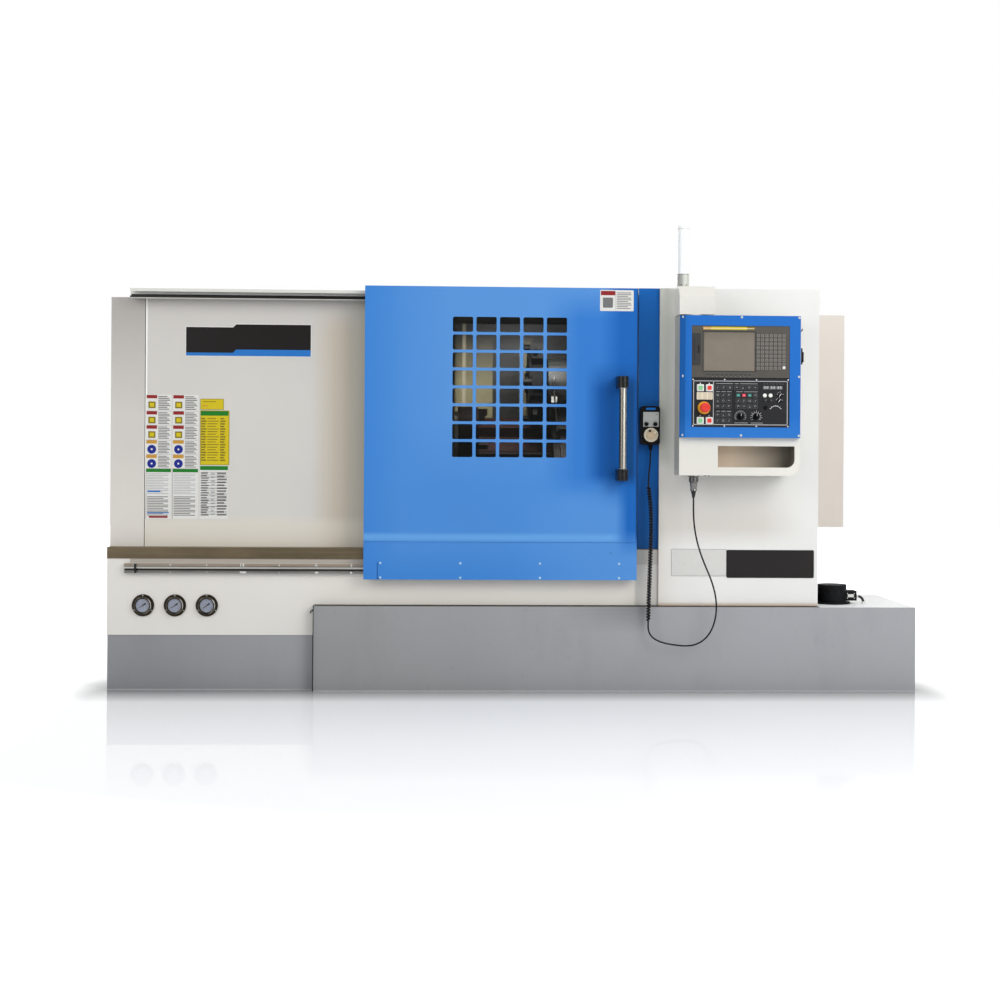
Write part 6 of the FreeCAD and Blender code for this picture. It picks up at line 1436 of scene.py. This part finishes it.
def addPendantSide():
    # a black latch and a small hook on the pendant's right side, and a screwed socket plate over the plug
    v = sideValues
    near, far, z0, z1 = v["latch"]
    side = touch("pendant_housing", (outside, -802, (z0 + z1) / 2), (-1, 0, 0))[0]
    parts = inked(finishes["black_plastic"], facing(plate(near, far, z0, z1, -side - 16, 16, 4, 1.2), 1),
                  facing(plate(near + 5, far - 5, z0 + 10, z1 - 16, -side - 22, 7, 3, 1.2), 1))
    y, z = v["hook"]
    hook = bend((side - 1, y, z - 6), (side + 20, y, z - 8), (side + 17, y, z + 6))
    parts.append((tube(hook, 2.6), blackScrew))
    x, y = v["socket"]
    down = (0, 0, -1)
    under = touch("pendant_housing", (x, y, 700), (0, 0, 1))[2]
    parts += inked(finishes["chrome"], turned(v["socketShape"], (x, y, under), down, 32))
    for places, lift in ((v["socketScrews"], v["socketLift"]), (v["housingScrews"], 0)):
        for x, y in places:
            parts.append((turned(v["screwShape"], (x, y, under - lift), down, 12), blackScrew))
    addPiece("pendant_side", parts, "pendant")


handUnitValues = {
    "plate": (534, 602, 1110, 1172), "led": (592.5, 1162), "knobs": ((550, 1121.5), (587, 1121.5)),
    "wheel": (567, 1075.4), "fingerKnob": (-5, 16.5), "marks": 50,
    "fingerShape": [(4.6, 0), (4.6, 1), (3.2, 2), (3.4, 6), (4.6, 9), (4.4, 12), (3, 13.4), (0.5, 13.8)],
}


def addHandUnit():
    # the grey plate with a lamp and two scales; the wheel gets its graduation, a hub and a finger knob
    v = handUnitValues
    x0, x1, z0, z1 = v["plate"]
    face = frontOf("hand_unit_body", x0 + 4, z1 - 4)
    parts = [(plate(x0 + 1, x1 - 1, z0, z1, face - 0.8, 0.9, 3, 0.2), unitPlate),
             (plate(x0 + 12, x1 - 12, 1181, 1190, face + 1.4, 0.6, 4, 0.2), finishes["paint_blue_dark"]),
             (screwHead(v["led"][0], face - 0.7, v["led"][1], 2.4), blackScrew),
             (frameStrip(x0 + 4, x1 - 16, z1 - 16, z1 - 5, face - 1.0, 0.3, 0.6, 1), fieldGrey)]
    parts += printLines(x0 + 7, x1 - 22, z1 - 36, z1 - 20, 3, face - 1.0, palePrint, 0.3)
    for centre in v["knobs"]:
        for angle in range(-90, 91, 30):
            parts.append((tick(centre, angle, 11, 13.5, 0.8, face - 1.0), blackPrint))
    addPiece("hand_unit_plate", parts, "machine")
    for number, (x, z) in enumerate(v["knobs"], 1):
        face = frontOf(f"hand_knob_{number}", x, z)
        line = chip(x - 0.5, x + 0.5, z + 4, z + 8, face - 0.3, 0.4)
        addPiece(f"hand_pointer_{number}", [(line, palePrint)], f"hand_knob_{number}")
    x, z = v["wheel"]
    rim = frontOf("hand_wheel", x - 26, z)
    face = frontOf("hand_wheel", x, z)
    knobX, knobZ = x + v["fingerKnob"][0], z + v["fingerKnob"][1]
    parts = [(disc((x, z), 17, face - 0.2, 0.3, 40), wheelTan)]
    top = frontOf("hand_wheel", knobX, knobZ)
    parts += inked(finishes["black_plastic"], turned(v["fingerShape"], (knobX, top, knobZ), sides=20))
    for number in range(v["marks"]):
        angle = number * 360 / v["marks"]
        parts.append((tick((x, z), angle, 25.5 if number % 5 else 24, 28, 0.5, rim - 0.25), greyPrint))
    addPiece("wheel_print", parts, "hand_wheel")


for addPanelPiece in (addBezelScrews, addPanelKeys, addPanelPrint, addButtonLenses, addDisplayPrint,
                      addPendantSide, addHandUnit):
    addPanelPiece()
print("pendant and hand unit dressed")


# Pieces on the tank, the lamp, inside the machine and at its back.

tankValues = {
    "hook": (-840, -708, 335), "hookShape": [(6, 0), (6, 1.5), (4, 2.5), (0.5, 2.6)],
    "pump": (1386, -540), "slots": 12, "slotHigh": (395, 428), "slotReach": 58, "pumpReach": 62,
    "elbow": (1483, -560, 388), "elbowStop": 1518, "nut": [(9, 0), (9, 9), (7.5, 11), (5, 11)],
    "foot": [(9, 0), (9, 8), (7, 10), (5, 10)],
}


def addTankPieces():
    # a small hook on the tank's left end, and the pump's label, screws, cooling slots and pressure elbow
    v = tankValues
    x, y, z = v["hook"]
    hook = tube(bend((x - 1, y, z), (x - 12, y, z - 1), (x - 10, y, z - 12)), 2.6)
    parts = inked(blackScrew, hook, turned(v["hookShape"], (x, y, z), (-1, 0, 0), 16))
    addPiece("tank_hook", parts, "machine")
    # the slots stand round the pump's barrel; where its box is in the way there is none
    centreX, centreY = v["pump"]
    parts = []
    for number in range(v["slots"]):
        angle = math.radians(number * 360 / v["slots"] + 15)
        sine, cosine = math.sin(angle), math.cos(angle)
        points, faces = slab(roundedOutline(-2.2, 2.2, *v["slotHigh"], 2.2, 4), -v["slotReach"] - 0.6, 0.8)
        turn = np.array([[cosine, -sine, 0], [sine, cosine, 0], [0, 0, 1]])
        start = (centreX + 300 * sine, centreY - 300 * cosine, 410)
        middle = touch("coolant_pump", start, (-sine, cosine, 0))
        reach = math.hypot(middle[0] - centreX, middle[1] - centreY)
        if reach < v["pumpReach"]:
            points = points * (1, reach / v["slotReach"], 1)
            parts.append(((points @ turn.T + (centreX, centreY, 0), faces), slotDark))
    boxFace = frontOf("coolant_pump", 1460, 390)
    parts += [(plate(1440, 1478, 376, 404, boxFace - 1.2, 1.4, 3, 0.4), finishes["motor_black"]),
              (chip(1446, 1472, 384, 397, boxFace - 1.5), plateWhite)]
    for x in (1444, 1474):
        for z in (380, 400):
            parts.append((screwHead(x, boxFace - 1.2, z, 2.2), zincScrew))
    addPiece("pump_details", parts, "machine")
    x, y, z = v["elbow"]
    stop = v["elbowStop"]
    pipe = tube(bend((x, y, z), (stop, y, z + 2), (stop, y, z - 34)), 5.5)
    nut = turned(v["nut"], (x, y, z), (1, 0, 0), 6)
    foot = turned(v["foot"], (stop, y, z - 33), (0, 0, 1), 6)
    addPiece("pump_pipe", inked(finishes["rubber"], pipe) + inked(zincScrew, nut, foot), "machine")


lampPieceValues = {"place": (693, -765), "screws": ((681, 1700), (702, 1700)),
                   "groove": [(25.05, 0), (25.4, 0.4), (25.4, 1.4), (25.05, 1.8)], "grooveLow": 1744,
                   "ring": [(24.4, 0), (25.0, 0.5), (25.0, 1.4), (24.4, 2)], "ringLow": 1934}


def addLampDetails():
    # two screws and a dark ring round the lamp's base, painted shade of a groove, and a clear cap ring on
    # its tube
    v = lampPieceValues
    x, y = v["place"]
    parts = screwsOn("signal_lamp", v["screws"], 2.4, blackScrew)
    parts += [(turned(v["groove"], (x, y, v["grooveLow"]), (0, 0, 1), 36), slotDark),
              (turned(v["ring"], (x, y, v["ringLow"]), (0, 0, 1), 36), plateWhite)]
    addPiece("lamp_details", parts, "machine")


pipeValues = {"path": [(216, 9, 1345), (216, -5, 1345), (214, -6, 1320), (218, -6, 1250), (226, -6, 1180),
                       (232, -6, 1100)], "radius": 4.2}


def addCoolantPipe():
    # a steel coolant pipe down the front of the turret's housing, with its block and clamps
    steel = finishes["chrome"]
    face = frontOf("cross_slide", 240, 1246)
    parts = [(tube(pipeValues["path"], pipeValues["radius"]), steel),
             (plate(205, 231, 1232, 1260, face - 14, 14, 2, 0.8), whitePlastic),
             (turned([(8, 0), (8, 8), (6.5, 9.5), (4.2, 9.5)], (216, face, 1345), (0, -1, 0), 6), zincScrew)]
    for x, z in ((221, 1210), (229, 1140)):
        parts.append((plate(x - 11, x + 11, z - 5, z + 5, face - 12, 12, 2, 0.6), blackScrew))
        parts.append((screwHead(x + 7, face - 12, z, 2.6), zincScrew))
    addPiece("coolant_pipe", parts, "cross_slide")


rearValues = {
    "columns": range(-1600, 520, 300), "edges": (395, 1612), "rows": (395, 700, 1000, 1300, 1612),
    "ends": (-1660, -600), "radius": 5, "switch": (1567, 1480), "ring": 52, "face": 884.3,
    "hinge": (560, 860.3), "hingeRows": (760, 1169, 1580),
    "knuckle": [(7, -40), (7, -14), (6.4, -13), (6.4, -12.6), (7, -11.6), (7, 11.6), (6.4, 12.6), (6.4, 13),
                (7, 14), (7, 40)],
}


def addRearPieces():
    # screws round the rear cover; on the cabinet's door a yellow ring about the switch and three hinges
    v = rearValues
    places = [(x, z) for x in v["columns"] for z in v["edges"]]
    places += [(x, z) for z in v["rows"] for x in v["ends"]]
    parts = []
    for x, z in places:
        back = touch("rear_cover", (x, outside, z), (0, -1, 0))[1]
        parts.append((facing(screwHead(-x, -back, z, v["radius"]), 2), zincScrew))
    addPiece("cover_screws", parts, "machine")
    centre = (-v["switch"][0], v["switch"][1])
    face = -v["face"]
    parts = [(facing(arcStrip(centre, v["ring"], 22, -180, 179, face - 0.8, 0.8, 40), 2), signalYellow)]
    for turn in (0, 90):
        x, z = around(centre, v["ring"], turn)
        parts.append((facing(chip(x - 3, x + 3, z - 3, z + 3, face - 1.6), 2), blackPrint))
    for z in v["hingeRows"]:
        parts.append((turned(v["knuckle"], (*v["hinge"], z), (0, 0, 1), 20), zincScrew))
    addPiece("switch_plate", parts, "cabinet_door")


cabinetValues = {"drives": (680, 810, 940, 1070), "driveFace": 750, "duct": (690, 1570, 690),
                 "ductRows": (1048, 1104), "transformer": (1317, 730), "pocket": (700, 1000, 1000, 1220),
                 "doorInside": 881.3}


def addCabinetUnits():
    # drives with a window, terminal block and fins, slots in the cable duct, coils, and the door's pocket
    v = cabinetValues
    face = -v["driveFace"]
    parts = []
    for x in v["drives"]:
        parts += [(plate(-x - 84, -x - 16, 1478, 1532, face - 1.4, 1.6, 4, 0.5), slotDark),
                  (chip(-x - 72, -x - 44, 1494, 1516, face - 1.7), greenPrint),
                  (plate(-x - 90, -x - 10, 1256, 1290, face - 7, 7.2, 2, 1), finishes["button_green"]),
                  (chip(-x - 80, -x - 20, 1380, 1440, face - 0.4), plateWhite)]
        for number in range(6):
            screwX = -x - 82 + number * 12.8
            parts.append((screwHead(screwX, face - 7, 1273, 3.6), zincScrew))
        for number in range(5):
            z = 1306 + number * 12
            parts.append((chip(-x - 84, -x - 16, z, z + 5, face - 0.4), slotDark))
    x0, x1, ductFace = v["duct"]
    for x in range(x0, x1, 16):
        for z in v["ductRows"]:
            parts.append((chip(-x - 6, -x, z, z + 18, -ductFace - 0.4), slotDark))
    x, ductFace = v["transformer"]
    for number in range(3):
        left = -x - 246 + number * 82
        parts.append((plate(left, left + 66, 790, 930, -ductFace - 9, 9.2, 10, 4), copperWinding))
    units = [(facing(shape, 2), finish) for shape, finish in parts]
    addPiece("cabinet_units", units, "machine")
    x0, x1, z0, z1 = v["pocket"]
    pocket = [(plate(x0, x1, z0, z1, v["doorInside"] - 14, 14, 5, 2), finishes["unit_grey"]),
              (chip(x0 + 12, x1 - 12, z1 - 16, z1 - 10, v["doorInside"] - 14.3), slotDark)]
    addPiece("drawing_pocket", pocket, "cabinet_door")


for addBackPiece in (addTankPieces, addLampDetails, addCoolantPipe, addRearPieces, addCabinetUnits):
    addBackPiece()
print("tank, lamp, inner and rear pieces added")
